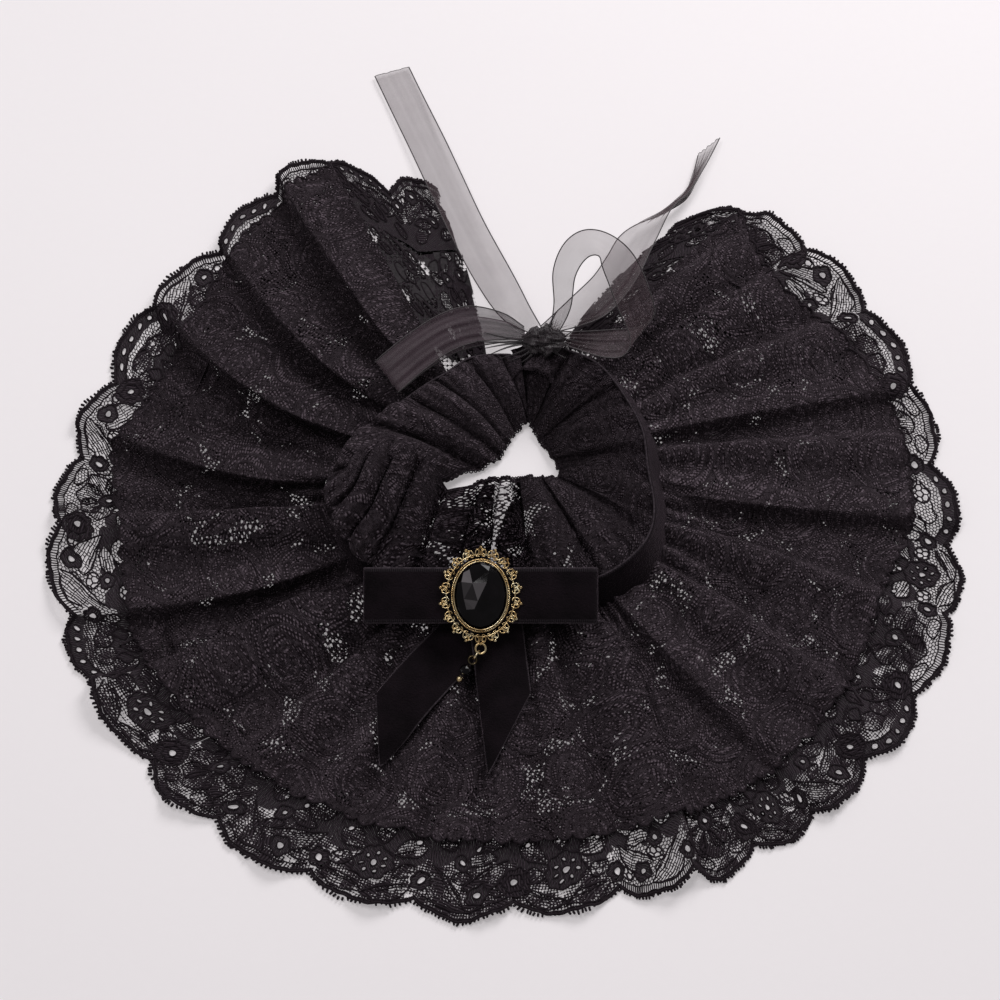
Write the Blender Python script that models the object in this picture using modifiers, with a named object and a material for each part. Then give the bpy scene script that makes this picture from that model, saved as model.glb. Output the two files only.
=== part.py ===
"""Two-tier lace capelet collar, laid flat on a surface with its velvet bow and brooch toward -Y.

The collar is drawn in millimetres around the centre of its neck, +Z up, and the finished object stands on z = 0
with the middle of its outline at the origin. Angles are in degrees about the neck centre, counterclockwise from +X.
They run on past 360, from the back opening's left edge (about 95) over the front (270) to its right edge (425).
"""

import functools
import math

import bmesh
import bpy
from mathutils import Vector

MM = 0.001
COLLECTION = "lace_collar"
NECK_CENTRE = (-2.9, -1.7)  # where the neck centre lies, from the middle of the outline

# Cloth
LACE_WALL = 1.0
VELVET_WALL = 1.2
ORGANZA_WALL = 1.0
SEAM_GAP = 0.35
VELVET_WIDTH = 20.0
ORGANZA_WIDTH = 15.0

# Neckband: a velvet ribbon that stands up and leans inward
BAND_HEIGHT = 18.5
BAND_SPREAD = 7.0  # how much further out its lower edge lies
BAND_START, BAND_END, BAND_COLUMNS = 82.0, 426.0, 48

# Cape
CAPE_NECK_START, CAPE_NECK_END = 95.0, 424.0
COLUMNS_PER_SCALLOP = 6
ROW_SHARES = (0.0, 0.2, 0.4, 0.6)  # rows of points from the neck outward; the two hems are the next ones
SCALLOP_BULGE = 6.0
STEEP_WIDTH, LEAN_REACH = 6.5, 13.0
WIDTHS_AT_RADIUS = 120.0  # the fold widths below are those at this distance from the neck centre
GATHER_COLUMNS, GATHER_HEIGHT, GATHER_DEPTH = 4, 2.4, 0.2
LOFT, FLUTE = 1.2, 1.6
MOST_UPPER_SHARE = 0.98
UPPER_FIRST_SCALLOP, UPPER_LAST_SCALLOP = 2, 28

# Ruffle
RUFFLE_START, RUFFLE_END = 84.0, 436.0  # its ends bunch up past the neckband's and nearly meet
RUFFLE_WAVES, COLUMNS_PER_WAVE, RUFFLE_ROWS = 13, 8, 4
RUFFLE_TOP, RUFFLE_EDGE, RUFFLE_ARCH = 17.3, 1.2, 2.6

# Bow and brooch
BOW_CENTRE = (-6.0, -61.5)
BOW_TILT = 20.0
BOW_LENGTH, BOW_HALF_MIDDLE, BOW_HALF_END = 88.0, 1.9, 3.1
BROOCH_SIZE = (31.0, 34.0)
BEZEL_SIZE = (21.0, 26.5)
BEZEL_WIRE, FRAME_THICK, STONE_RISE = 0.6, 1.2, 4.6
STONE_SIZE = tuple(size - 4 * BEZEL_WIRE - 2 * SEAM_GAP for size in BEZEL_SIZE)
SCROLLS = 18
LOOP_RADIUS, LOOP_WIRE = 1.9, 0.45
RING_RADIUS, EYE_RADIUS, RING_WIRE, RING_PLAY = 1.9, 1.5, 0.36, 0.2
BEAD_RADIUS, CAP_RADIUS = 2.3, 1.3
DROP_TURN = -35.0  # how far the drop lies to the left of straight down

# Distance of the neckband's top edge from the neck centre
NECK = (
    # angle, radius
    (80, 38.5), (96, 38.5), (115, 37), (137, 37), (158, 43), (174, 50), (190, 58), (206, 63), (228, 64),
    (245, 58), (264, 54), (285, 57), (306, 65), (325, 68), (349, 59), (370, 55), (390, 53), (405, 51),
    (426, 47), (442, 41),
)

# The notches between the lower hem's scallops
HEM_NOTCHES = (
    # angle, radius
    (101, 125), (110, 129), (117, 152), (127, 151), (140, 146), (153, 153), (167, 156), (179, 163),
    (189, 171), (201, 173), (211, 175), (223, 175), (234, 175), (247, 175), (260, 174), (272, 173),
    (285, 173), (293, 176), (302, 178), (310, 181), (319, 181), (329, 183), (340, 182), (349, 177),
    (360, 170), (372, 167), (384, 162), (396, 156), (408, 151), (416, 128),
)

# The upper tier's hem
UPPER_HEM = (
    # angle, radius
    (117, 149), (137, 140), (150, 135), (164, 137), (176, 149), (188, 146), (205, 153), (223, 152),
    (241, 150), (267, 149), (284, 151), (307, 158), (325, 158), (341, 155), (350, 160), (367, 157),
    (382, 146), (394, 136), (408, 146),
)

# Radiating folds that both tiers share. The steep side is 1 toward growing angles and -1 the other way.
FOLDS = (
    # neck angle, hem angle, height, steep side, gentle width, share of the height left at the hem, lean
    (126, 124, 9.0, 1, 19, 0.55, 0.5),
    (149, 138, 8.5, 1, 15, 0.50, 0.5),
    (166, 152, 10.0, 1, 18, 0.50, 0.6),
    (185, 173, 9.0, 1, 16, 0.35, 0.6),
    (199, 188, 7.0, -1, 14, 0.40, 0.4),
    (212, 200, 8.0, 1, 16, 0.45, 0.5),
    (228, 212, 11.0, -1, 22, 0.45, 0.6),
    (243, 229, 6.5, -1, 15, 0.40, 0.3),
    (252, 243, 5.5, 1, 12, 0.45, 0.0),
    (262, 256, 5.0, 1, 12, 0.60, 0.0),
    (274, 269, 5.0, -1, 12, 0.50, 0.0),
    (284, 281, 6.0, 1, 14, 0.35, 0.0),
    (298, 293, 9.0, 1, 17, 0.60, 0.5),
    (311, 312, 6.0, -1, 14, 0.45, 0.4),
    (324, 323, 5.0, 1, 14, 0.40, 0.3),
    (337, 338, 5.5, 1, 13, 0.35, 0.3),
    (351, 353, 7.0, -1, 16, 0.45, 0.5),
    (362, 363, 4.5, 1, 12, 0.40, 0.3),
    (373, 372, 6.5, -1, 15, 0.45, 0.4),
    (383, 383, 5.0, 1, 12, 0.40, 0.3),
    (393, 395, 8.0, 1, 16, 0.50, 0.5),
    (407, 404, 6.0, 1, 14, 0.55, 0.3),
)
FOLD_RISE = ((0.0, 0.32), (0.1, 0.6), (0.25, 1.0), (1.0, 1.0))  # share of the height, from neck to hem

# Where the ruffle's free edge lies, for a place on the neckband
RUFFLE_EDGES = (
    # angle on the band, edge x, edge y, wave height
    (84, 10.5, 25, 2.0), (100, 9, 18, 2.4), (118, 5.5, 11.5, 2.8), (137, 3, 6, 3.0), (158, -1, 1, 3.2),
    (174, -9, -3, 3.8), (190, -16, -6.5, 3.8), (206, -21, -9.5, 3.0), (218, -20, -13, 2.4),
    (230, -14, -12, 2.8), (246, -7, -10, 3.4), (264, 0, -9, 3.0), (286, 9, -8.5, 3.0), (306, 17, -8, 3.4),
    (328, 24, -8, 3.2), (349, 25, -2, 3.2), (370, 21, 5, 3.0), (390, 17, 11, 2.8), (406, 13.5, 17, 2.6),
    (422, 12, 22, 2.4), (436, 12, 27, 2.0),
)

# Velvet tails: the middle line of each, and how long its two edges run before the slanted cut
TAILS = {
    # start x, start y, heading, left edge length, right edge length, extra height at the start
    "bow_tail_left": (-8.0, -68.0, 229.5, 66.0, 45.0, 0.0),
    "bow_tail_right": (-0.5, -69.0, 277.0, 28.0, 58.0, 4.3),
}
TAIL_ROWS, TAIL_COLUMNS, TAIL_REACH, TAIL_FALL = 9, 3, 6.5, 2.0
TAIL_SAMPLE_SHARES = tuple(k / 25 for k in range(20))

# Organza ribbon: stations along each stretch, from the knot outward
KNOT = {"centre": (17.0, 45.7, 21.8), "radii": (5.6, 3.6, 3.5)}
RIBBONS = {
    # x, y, z, direction across the ribbon in plan, its tilt upward, share of the full width
    "ribbon_loop_left": (
        (10.9, 46.3, 22.8, 275, 0, 0.35), (3, 49.5, 22.3, 275, -10, 0.7), (-9, 51, 21.5, 281, -18, 0.95),
        (-20, 47.5, 21, 286, -22, 1.0), (-31, 40, 20, 297, -20, 1.0), (-40, 32.5, 18.4, 306, -14, 1.0),
        (-43, 30.5, 16.2, 308, -12, 1.0), (-40, 34, 14.2, 303, -12, 1.0), (-30, 42.5, 14.2, 295, -14, 1.0),
        (-16, 50, 15, 285, -14, 0.95), (2, 50, 17.3, 276, -5, 0.6), (10.9, 46.4, 20.2, 272, 0, 0.3),
    ),
    "ribbon_loop_right": (
        (22.1, 47.2, 23.6, -60, 0, 0.3), (25.4, 55, 29.5, -15, 0, 0.45), (26, 64, 38.5, -14, 8, 0.6),
        (30, 70.5, 44.5, -30, 8, 0.75), (36, 73, 47, -62, 4, 0.9), (42, 71, 45.5, -104, 0, 0.95),
        (48, 66, 40, -134, 0, 1.0), (53, 58, 31, -148, 4, 1.0), (57, 50, 22, -134, 8, 1.0),
        (53, 44.5, 19.5, -118, 8, 1.0), (43, 43, 20.2, -102, 4, 0.85), (31, 44, 20.8, -92, 0, 0.5),
        (23.3, 45.4, 21.2, -90, 0, 0.3),
    ),
    "ribbon_tail_left": (
        (14.8, 49.2, 20.6, 20, 20, 0.35), (7.5, 60, 14, 18, 24, 0.8), (-1, 79, 6.5, 12, 10, 1.0),
        (-12, 103, 4, 20, 0, 1.0), (-22, 127, 3.2, 24, 0, 1.0), (-29, 144, 2.4, 22, 0, 1.0),
        (-38, 165, 1.2, 20, 0, 1.0), (-44.5, 180, 1.2, 18, 0, 1.0),
    ),
    "ribbon_tail_right": (
        (19.5, 49.4, 20.6, -35, 0, 0.35), (27.6, 54.6, 19, -42, 0, 0.7), (36.5, 61, 18, -36, 0, 1.0),
        (45, 71, 16.5, -30, 0, 1.0), (51, 82, 14, -26, 0, 1.0), (56, 93, 11.5, -24, 4, 0.95),
        (63, 104, 9, -8, 30, 0.8), (71, 112, 6.5, 10, 60, 0.45), (78, 119, 5, 25, 70, 0.25),
        (83, 130, 3.5, 34, 30, 0.45), (88, 143, 2.2, 40, 8, 0.8),
    ),
}
RIBBON_STEPS = 3  # stations added between two rows of the tables above

# Colour, roughness and metallic value of each material
FINISHES = {
    "lace": ((0.018, 0.014, 0.016), 0.8, 0.0),
    "velvet": ((0.006, 0.004, 0.005), 0.95, 0.0),
    "organza": ((0.10, 0.07, 0.08), 0.5, 0.0),
    "antique_gold": ((0.42, 0.25, 0.08), 0.38, 1.0),
    "black_stone": ((0.004, 0.004, 0.005), 0.05, 0.0),
}


def clear_scene():
    for obj in list(bpy.data.objects):
        bpy.data.objects.remove(obj, do_unlink=True)


def lerp(a, b, share):
    return a + (b - a) * share


def along(rows, place, column=1):
    """Smooth curve through one column of a table, read at a place in its first column."""
    last = len(rows) - 1
    k = 0
    while k < last - 1 and place > rows[k + 1][0]:
        k += 1

    def slope(i):
        low, high = max(i - 1, 0), min(i + 1, last)
        return (rows[high][column] - rows[low][column]) / (rows[high][0] - rows[low][0])

    span = rows[k + 1][0] - rows[k][0]
    u = min(max((place - rows[k][0]) / span, 0.0), 1.0)
    start, end = rows[k][column], rows[k + 1][column]
    return (
        start * (1 + 2 * u) * (1 - u) ** 2
        + end * (3 - 2 * u) * u**2
        + slope(k) * span * u * (1 - u) ** 2
        - slope(k + 1) * span * u**2 * (1 - u)
    )


def on_circle(angle, radius):
    return Vector((math.cos(math.radians(angle)) * radius, math.sin(math.radians(angle)) * radius, 0.0))


def neck_radius(angle):
    return along(NECK, angle)


def cape_inner_radius(angle):
    return neck_radius(angle) + BAND_SPREAD + VELVET_WALL + SEAM_GAP + 0.15


# Cape: a place on it is a column, counted in scallops from the left back edge, and a share s from neck to hem


def hem_notch(place):
    """Angle and radius of the lower hem's notch line at a place counted in scallops."""
    k = min(int(place), len(HEM_NOTCHES) - 2)
    share = place - k
    return [lerp(HEM_NOTCHES[k][i], HEM_NOTCHES[k + 1][i], share) for i in (0, 1)]


@functools.lru_cache(maxsize=None)
def cape_line(place):
    """Angle and radius at each end of the line that the cloth follows from neck to hem. Folds lie along these."""
    hem_angle, hem_radius = hem_notch(place)
    lines = [(HEM_NOTCHES[0][0], CAPE_NECK_START)]
    lines += [(fold[1], fold[0]) for fold in FOLDS]
    lines.append((HEM_NOTCHES[-1][0], CAPE_NECK_END))
    for near, far in zip(lines, lines[1:]):
        if hem_angle <= far[0]:
            break
    neck_angle = lerp(near[1], far[1], (hem_angle - near[0]) / (far[0] - near[0]))
    return neck_angle, hem_angle, cape_inner_radius(neck_angle), hem_radius


def cape_polar(place, s):
    neck_angle, hem_angle, inner, outer = cape_line(place)
    return lerp(neck_angle, hem_angle, s), lerp(inner, outer, s)


def lower_hem_share(place):
    """The scalloped hem, as a share from the neck to the notch line."""
    _, hem_radius = hem_notch(place)
    bulge = SCALLOP_BULGE * math.sin(math.pi * (place % 1.0)) ** 0.8
    return 1.0 + bulge / (hem_radius - cape_polar(place, 0.0)[1])


def upper_hem_share(place):
    angle, hem_radius = hem_notch(place)
    inner = cape_polar(place, 0.0)[1]
    return min((along(UPPER_HEM, angle) - inner) / (hem_radius - inner), MOST_UPPER_SHARE)


def fold_terms(place, s):
    """Height of the shared folds at a place, and how far they lean sideways for each mm of height."""
    angle, radius = cape_polar(place, s)
    scale = (radius / WIDTHS_AT_RADIUS) ** 0.7
    height = lean = 0.0
    for neck_angle, hem_angle, top, side, gentle, hem_part, tilt in FOLDS:
        from_crest = math.radians(angle - lerp(neck_angle, hem_angle, min(s, 1.0))) * radius * side
        reach = (STEEP_WIDTH if from_crest > 0 else gentle) * scale
        if abs(from_crest) < reach:
            rise = along(FOLD_RISE, min(s, 1.0)) * lerp(1.0, hem_part, min(max((s - 0.3) / 0.7, 0.0), 1.0))
            height += top * rise * (0.5 + 0.5 * math.cos(math.pi * from_crest / reach))
        lean += side * tilt * math.exp(-((from_crest / (LEAN_REACH * scale)) ** 2))
    return height, lean


def cape_point(place, s, height):
    """A point over the cape at the given height, moved sideways as far as the folds lean there."""
    angle, radius = cape_polar(place, s)
    _, lean = fold_terms(place, s)
    sideways = Vector((-math.sin(math.radians(angle)), math.cos(math.radians(angle)), 0.0))
    return on_circle(angle, radius) + sideways * lean * height + Vector((0.0, 0.0, height))


def clear_of_lower(place, s):
    """How far the upper tier starts over the lower one, so that it is clear of it on the folds' flanks too."""
    step = 1.0 / COLUMNS_PER_SCALLOP
    last = len(HEM_NOTCHES) - 1
    beside = [min(max(place + side * step, 0.0), last) for side in (-1, 0, 1)]
    points = [cape_point(at, s, fold_terms(at, s)[0]) for at in beside]
    upward = cape_point(place, s, points[1].z + 1.0) - points[1]
    most = 1.0
    for near, far in zip(points, points[1:]):
        if far != near:
            most = max(most, 1.0 / upward.cross((far - near).normalized()).length)
    return (LACE_WALL + SEAM_GAP) * most


def upper_height(place, s, hem_share):
    """Height of the upper tier's underside: over the lower tier, with its own gathers, loft and flutes."""
    share = s / hem_share
    gather = 0.5 - 0.5 * math.cos(2 * math.pi * place * COLUMNS_PER_SCALLOP / GATHER_COLUMNS)
    flute = 0.5 - 0.5 * math.cos(2 * math.pi * place * 1.3)
    own = GATHER_HEIGHT * gather * math.exp(-((share / GATHER_DEPTH) ** 2))
    own += LOFT * math.sin(math.pi * min(share, 1.0)) + FLUTE * flute * share**3
    return fold_terms(place, s)[0] + clear_of_lower(place, s) + own


def lower_tier_points():
    columns = (len(HEM_NOTCHES) - 1) * COLUMNS_PER_SCALLOP
    grid = []
    for column in range(columns + 1):
        place = column / COLUMNS_PER_SCALLOP
        shares = (*ROW_SHARES, upper_hem_share(place), lower_hem_share(place))
        grid.append([cape_point(place, s, fold_terms(place, s)[0]) for s in shares])
    return grid


def upper_tier_points(shares=ROW_SHARES):
    first = UPPER_FIRST_SCALLOP * COLUMNS_PER_SCALLOP
    last = UPPER_LAST_SCALLOP * COLUMNS_PER_SCALLOP
    grid = []
    for column in range(first, last + 1):
        place = column / COLUMNS_PER_SCALLOP
        hem = upper_hem_share(place)
        line = [min(s, hem) for s in (*shares, hem)]
        grid.append([cape_point(place, s, upper_height(place, s, hem)) for s in line])
    return grid


# Neckband and ruffle


def band_points():
    grid = []
    for share in (0.0, 0.5, 1.0):
        line = []
        for column in range(BAND_COLUMNS + 1):
            angle = lerp(BAND_START, BAND_END, column / BAND_COLUMNS)
            point = on_circle(angle, neck_radius(angle) + BAND_SPREAD * (1.0 - share))
            line.append(point + Vector((0.0, 0.0, BAND_HEIGHT * share)))
        grid.append(line)
    return grid


def ruffle_point(column, w):
    """A point of the ruffle: w runs from the band to the free edge."""
    angle = lerp(RUFFLE_START, RUFFLE_END, column / (RUFFLE_WAVES * COLUMNS_PER_WAVE))
    phase = 2 * math.pi * column / COLUMNS_PER_WAVE
    at_band = on_circle(angle, neck_radius(angle) - SEAM_GAP)
    at_edge = Vector((along(RUFFLE_EDGES, angle, 1), along(RUFFLE_EDGES, angle, 2), 0.0))
    point = at_band.lerp(at_edge, w)
    wave = lerp(0.7, along(RUFFLE_EDGES, angle, 3), min(1.0, w * 1.6))
    height = lerp(RUFFLE_TOP - 0.7, RUFFLE_EDGE, w**1.15) + RUFFLE_ARCH * math.sin(math.pi * w)
    return point + Vector((0.0, 0.0, height + wave * (0.5 + 0.5 * math.cos(phase))))


def ruffle_points():
    columns = RUFFLE_WAVES * COLUMNS_PER_WAVE
    return [
        [ruffle_point(column, row / RUFFLE_ROWS) for column in range(columns + 1)]
        for row in range(RUFFLE_ROWS + 1)
    ]


# Velvet tails and organza


def tail_points(name, cape_top):
    """A velvet tail laid on the cape: each point lies over the highest cape point near it."""
    x, y, heading, left, right, lift = TAILS[name]
    ahead = on_circle(heading, 1.0)
    across = on_circle(heading - 90.0, 1.0)
    grid = []
    for row in range(TAIL_ROWS + 1):
        line = []
        for column in range(TAIL_COLUMNS + 1):
            side = column / TAIL_COLUMNS
            run = lerp(left, right, side) * row / TAIL_ROWS
            extra = lift * max(0.0, 1.0 - TAIL_FALL * row / TAIL_ROWS)
            flat = Vector((x, y, 0.0)) + ahead * run + across * (side - 0.5) * VELVET_WIDTH
            near = [p.z for p in cape_top if (p.x - flat.x) ** 2 + (p.y - flat.y) ** 2 < TAIL_REACH**2]
            line.append(flat + Vector((0.0, 0.0, max(near) + SEAM_GAP + extra)))
        grid.append(line)
    return grid


def ribbon_points(rows):
    """The two edges of an organza stretch, smoothed between its stations."""
    stations = [(float(k), *row) for k, row in enumerate(rows)]
    edges = ([], [])
    for step in range((len(rows) - 1) * RIBBON_STEPS + 1):
        at = step / RIBBON_STEPS
        x, y, z, facing, tilt, share = (along(stations, at, column) for column in range(1, 7))
        level = math.cos(math.radians(tilt))
        across = on_circle(facing, level) + Vector((0.0, 0.0, math.sin(math.radians(tilt))))
        half = ORGANZA_WIDTH * share / 2
        edges[0].append(Vector((x, y, z)) - across * half)
        edges[1].append(Vector((x, y, z)) + across * half)
    return [edges[0], edges[1]]


# Building


def material(name):
    existing = bpy.data.materials.get(name)
    if existing:
        return existing
    colour, roughness, metallic = FINISHES[name]
    new = bpy.data.materials.new(name)
    new.use_nodes = True
    shader = new.node_tree.nodes["Principled BSDF"]
    shader.inputs["Base Color"].default_value = (*colour, 1.0)
    shader.inputs["Roughness"].default_value = roughness
    shader.inputs["Metallic"].default_value = metallic
    return new


def add_object(name, mesh, finish, collection, parent):
    mesh.materials.append(material(finish))
    obj = bpy.data.objects.new(name, mesh)
    collection.objects.link(obj)
    obj.parent = parent
    return obj


def mesh_of(name, bm, smooth=True):
    mesh = bpy.data.meshes.new(name)
    bm.to_mesh(mesh)
    bm.free()
    if smooth:
        mesh.shade_smooth()
        mesh.set_sharp_from_angle(angle=math.radians(50))
    return mesh


def shell(name, grid, wall, finish, collection, parent, flip=False, offset=1.0):
    """Cloth through a grid of points, thickened on the side its normals point to."""
    bm = bmesh.new()
    rows = [[bm.verts.new(point * MM) for point in line] for line in grid]
    for near, far in zip(rows, rows[1:]):
        for k in range(len(near) - 1):
            corners = (near[k], near[k + 1], far[k + 1], far[k])
            bm.faces.new(corners[::-1] if flip else corners)
    bmesh.ops.triangulate(bm, faces=bm.faces[:], quad_method="FIXED")
    obj = add_object(name, mesh_of(name, bm), finish, collection, parent)
    solidify = obj.modifiers.new("wall", "SOLIDIFY")
    solidify.thickness = wall * MM
    solidify.offset = offset
    return obj


def bow_bar(collection, parent):
    """A flat loop of velvet: pinched at its middle, rounded at both ends."""
    side = []
    half_length = BOW_LENGTH / 2 - BOW_HALF_END
    for k in range(9):
        x = lerp(-half_length, half_length, k / 8)
        half = lerp(BOW_HALF_MIDDLE, BOW_HALF_END, abs(x) / half_length) - VELVET_WALL
        side.append((x, half))
    end_radius = BOW_HALF_END - VELVET_WALL
    ring = [(x, -half) for x, half in side]
    bend = (-math.pi / 4, 0.0, math.pi / 4)
    ring += [(half_length + end_radius * math.cos(a), end_radius * math.sin(a)) for a in bend]
    ring += [(x, half) for x, half in reversed(side)]
    ring += [(-half_length - end_radius * math.cos(a), -end_radius * math.sin(a)) for a in bend]
    ring.append(ring[0])
    grid = [[Vector((x, y, z)) for x, z in ring] for y in (-VELVET_WIDTH / 2, VELVET_WIDTH / 2)]
    obj = shell("bow_bar", grid, VELVET_WALL, "velvet", collection, parent, flip=True)
    weld = obj.modifiers.new("seam", "WELD")
    weld.merge_threshold = 0.00001
    obj.modifiers.move(1, 0)
    return obj


def oval(width, height, points, lobes=0, lobe=0.0):
    """Points of an oval in the XY plane, with rounded lobes around it when lobes are asked for."""
    found = []
    for k in range(points):
        turn = 2 * math.pi * k / points
        swell = -lobe * math.cos(lobes * turn) if lobes else 0.0
        found.append(((width / 2 + swell) * math.cos(turn), (height / 2 + swell) * math.sin(turn)))
    return found


def poly_curve(name, loops, closed=True):
    data = bpy.data.curves.new(name, "CURVE")
    for loop in loops:
        spline = data.splines.new("POLY")
        spline.points.add(len(loop) - 1)
        for point, place in zip(spline.points, loop):
            x, y, z = (*place, 0.0)[:3]
            point.co = (x * MM, y * MM, z * MM, 1.0)
        spline.use_cyclic_u = closed
    return data


def brooch_frame(collection, parent):
    """The flat plate of the scrollwork, its edge lobed where the scrolls end in balls."""
    lobe = 0.9
    outer = oval(BROOCH_SIZE[0] - 2 * lobe, BROOCH_SIZE[1] - 2 * lobe, SCROLLS * 4, SCROLLS, lobe)
    inner = oval(BEZEL_SIZE[0] - 3.2, BEZEL_SIZE[1] - 3.2, 32)
    data = poly_curve("brooch_frame", (outer, inner))
    data.dimensions = "2D"
    data.fill_mode = "BOTH"
    data.extrude = FRAME_THICK / 2 * MM
    obj = add_object("brooch_frame", data, "antique_gold", collection, parent)
    obj.location.z = FRAME_THICK / 2 * MM
    return obj


def brooch_bezel(collection, parent):
    """The oval wire that holds the stone."""
    wire = oval(BEZEL_SIZE[0] - 2 * BEZEL_WIRE, BEZEL_SIZE[1] - 2 * BEZEL_WIRE, 32)
    data = poly_curve("brooch_bezel", (wire,))
    data.dimensions = "3D"
    data.bevel_depth = BEZEL_WIRE * MM
    data.bevel_resolution = 1
    obj = add_object("brooch_bezel", data, "antique_gold", collection, parent)
    obj.location.z = (FRAME_THICK + SEAM_GAP + BEZEL_WIRE) * MM
    return obj


def brooch_stone(collection, parent):
    """An oval faceted stone: a turned profile in sixteen flats, made narrower than it is long."""
    half = STONE_SIZE[1] / 2
    profile = ((0.0, 1.0), (0.45, 0.93), (0.80, 0.62), (1.0, 0.22), (1.0, 0.0), (0.0, 0.0))
    mesh = bpy.data.meshes.new("brooch_stone")
    points = [(share * half * MM, 0.0, rise * STONE_RISE * MM) for share, rise in profile]
    mesh.from_pydata(points, [(k, k + 1) for k in range(len(points) - 1)], [])
    obj = add_object("brooch_stone", mesh, "black_stone", collection, parent)
    screw = obj.modifiers.new("turn", "SCREW")
    screw.steps = screw.render_steps = 16
    screw.use_merge_vertices = True
    screw.merge_threshold = 0.00001
    screw.use_smooth_shade = False
    obj.scale.x = STONE_SIZE[0] / STONE_SIZE[1]
    obj.location.z = (FRAME_THICK + SEAM_GAP) * MM
    return obj


def torus(name, major, minor, collection, parent, sides=8, around=18):
    bpy.ops.mesh.primitive_torus_add(
        major_radius=major * MM, minor_radius=minor * MM, major_segments=around, minor_segments=sides
    )
    obj = bpy.context.object
    obj.name = obj.data.name = name
    obj.data.shade_smooth()
    obj.data.materials.append(material("antique_gold"))
    for holder in list(obj.users_collection):
        holder.objects.unlink(obj)
    collection.objects.link(obj)
    obj.parent = parent
    return obj


def ball(name, radii, finish, collection, parent, segments=12, rings=8):
    bm = bmesh.new()
    bmesh.ops.create_uvsphere(bm, u_segments=segments, v_segments=rings, radius=1.0)
    for vert in bm.verts:
        vert.co = Vector(tuple(c * r * MM for c, r in zip(vert.co, radii)))
    return add_object(name, mesh_of(name, bm), finish, collection, parent)


def brooch_and_drop(collection, front):
    """The brooch lies on the bow's middle. Its drop hangs from the loop at its lower edge and swings there."""
    brooch_frame(collection, front)
    brooch_bezel(collection, front)
    brooch_stone(collection, front)
    loop_y = -(BROOCH_SIZE[1] / 2 + LOOP_RADIUS + LOOP_WIRE + SEAM_GAP)
    loop = torus("brooch_loop", LOOP_RADIUS, LOOP_WIRE, collection, front)
    loop.location = (0.0, loop_y * MM, FRAME_THICK / 2 * MM)

    swing = bpy.data.objects.new("drop_swing", None)
    collection.objects.link(swing)
    swing.parent = front
    swing.location = loop.location
    swing.rotation_euler.z = math.radians(DROP_TURN)
    ring_y = -(LOOP_RADIUS - LOOP_WIRE - RING_WIRE - RING_PLAY) - RING_RADIUS
    ring = torus("drop_ring", RING_RADIUS, RING_WIRE, collection, swing)
    ring.location.y = ring_y * MM
    ring.rotation_euler.y = math.pi / 2
    eye_y = ring_y - RING_RADIUS + 2 * RING_WIRE + RING_PLAY - EYE_RADIUS
    eye = torus("drop_eye", EYE_RADIUS, RING_WIRE, collection, swing)
    eye.location.y = eye_y * MM
    bead_y = eye_y - EYE_RADIUS - RING_WIRE - SEAM_GAP - BEAD_RADIUS
    bead = ball("drop_bead", (BEAD_RADIUS,) * 3, "black_stone", collection, swing)
    bead.location.y = bead_y * MM
    cap = ball("drop_cap", (CAP_RADIUS,) * 3, "antique_gold", collection, swing, 10, 6)
    cap.location.y = (bead_y - BEAD_RADIUS - SEAM_GAP - CAP_RADIUS) * MM


def build():
    clear_scene()
    collection = bpy.data.collections.new(COLLECTION)
    bpy.context.scene.collection.children.link(collection)
    place = bpy.data.objects.new("collar_place", None)
    collection.objects.link(place)
    place.location = (NECK_CENTRE[0] * MM, NECK_CENTRE[1] * MM, 0.0)

    shell("cape_lower_tier", lower_tier_points(), LACE_WALL, "lace", collection, place)
    shell("cape_upper_tier", upper_tier_points(), LACE_WALL, "lace", collection, place)
    shell("neck_band", band_points(), VELVET_WALL, "velvet", collection, place)
    shell("neck_ruffle", ruffle_points(), LACE_WALL, "lace", collection, place)

    front = bpy.data.objects.new("bow_place", None)
    collection.objects.link(front)
    front.parent = place
    tilt = math.radians(BOW_TILT)
    back_rise = (BOW_HALF_END + SEAM_GAP) / math.cos(tilt)
    edge_y = -neck_radius(270.0) - VELVET_WALL
    front_z = BAND_HEIGHT + 0.4 + back_rise - (edge_y - BOW_CENTRE[1]) * math.tan(tilt)
    front.location = (BOW_CENTRE[0] * MM, BOW_CENTRE[1] * MM, front_z * MM)
    front.rotation_euler.x = tilt
    bow_bar(collection, front)
    jewel = bpy.data.objects.new("brooch_place", None)
    collection.objects.link(jewel)
    jewel.parent = front
    jewel.location.z = (BOW_HALF_MIDDLE + 2 * SEAM_GAP) * MM
    brooch_and_drop(collection, jewel)

    top = Vector((0.0, 0.0, LACE_WALL))
    cape_top = [point + top for line in upper_tier_points(TAIL_SAMPLE_SHARES) for point in line]
    for name in TAILS:
        shell(name, tail_points(name, cape_top), VELVET_WALL, "velvet", collection, place)

    ball("ribbon_knot", KNOT["radii"], "organza", collection, place).location = Vector(KNOT["centre"]) * MM
    for name, rows in RIBBONS.items():
        shell(name, ribbon_points(rows), ORGANZA_WALL, "organza", collection, place, offset=0.0)


build()
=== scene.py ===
"""Looks of the two-tier lace capelet collar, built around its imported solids.

Cloth is drawn in millimetres about the neck centre, as the solids are, and angles run counterclockwise from +X, from
the back opening's left edge (about 95 degrees) over the front (270) to its right edge (about 425).
"""

import math

import bmesh
import bpy
import numpy as np
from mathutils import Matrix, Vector, geometry
from mathutils.bvhtree import BVHTree


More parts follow.
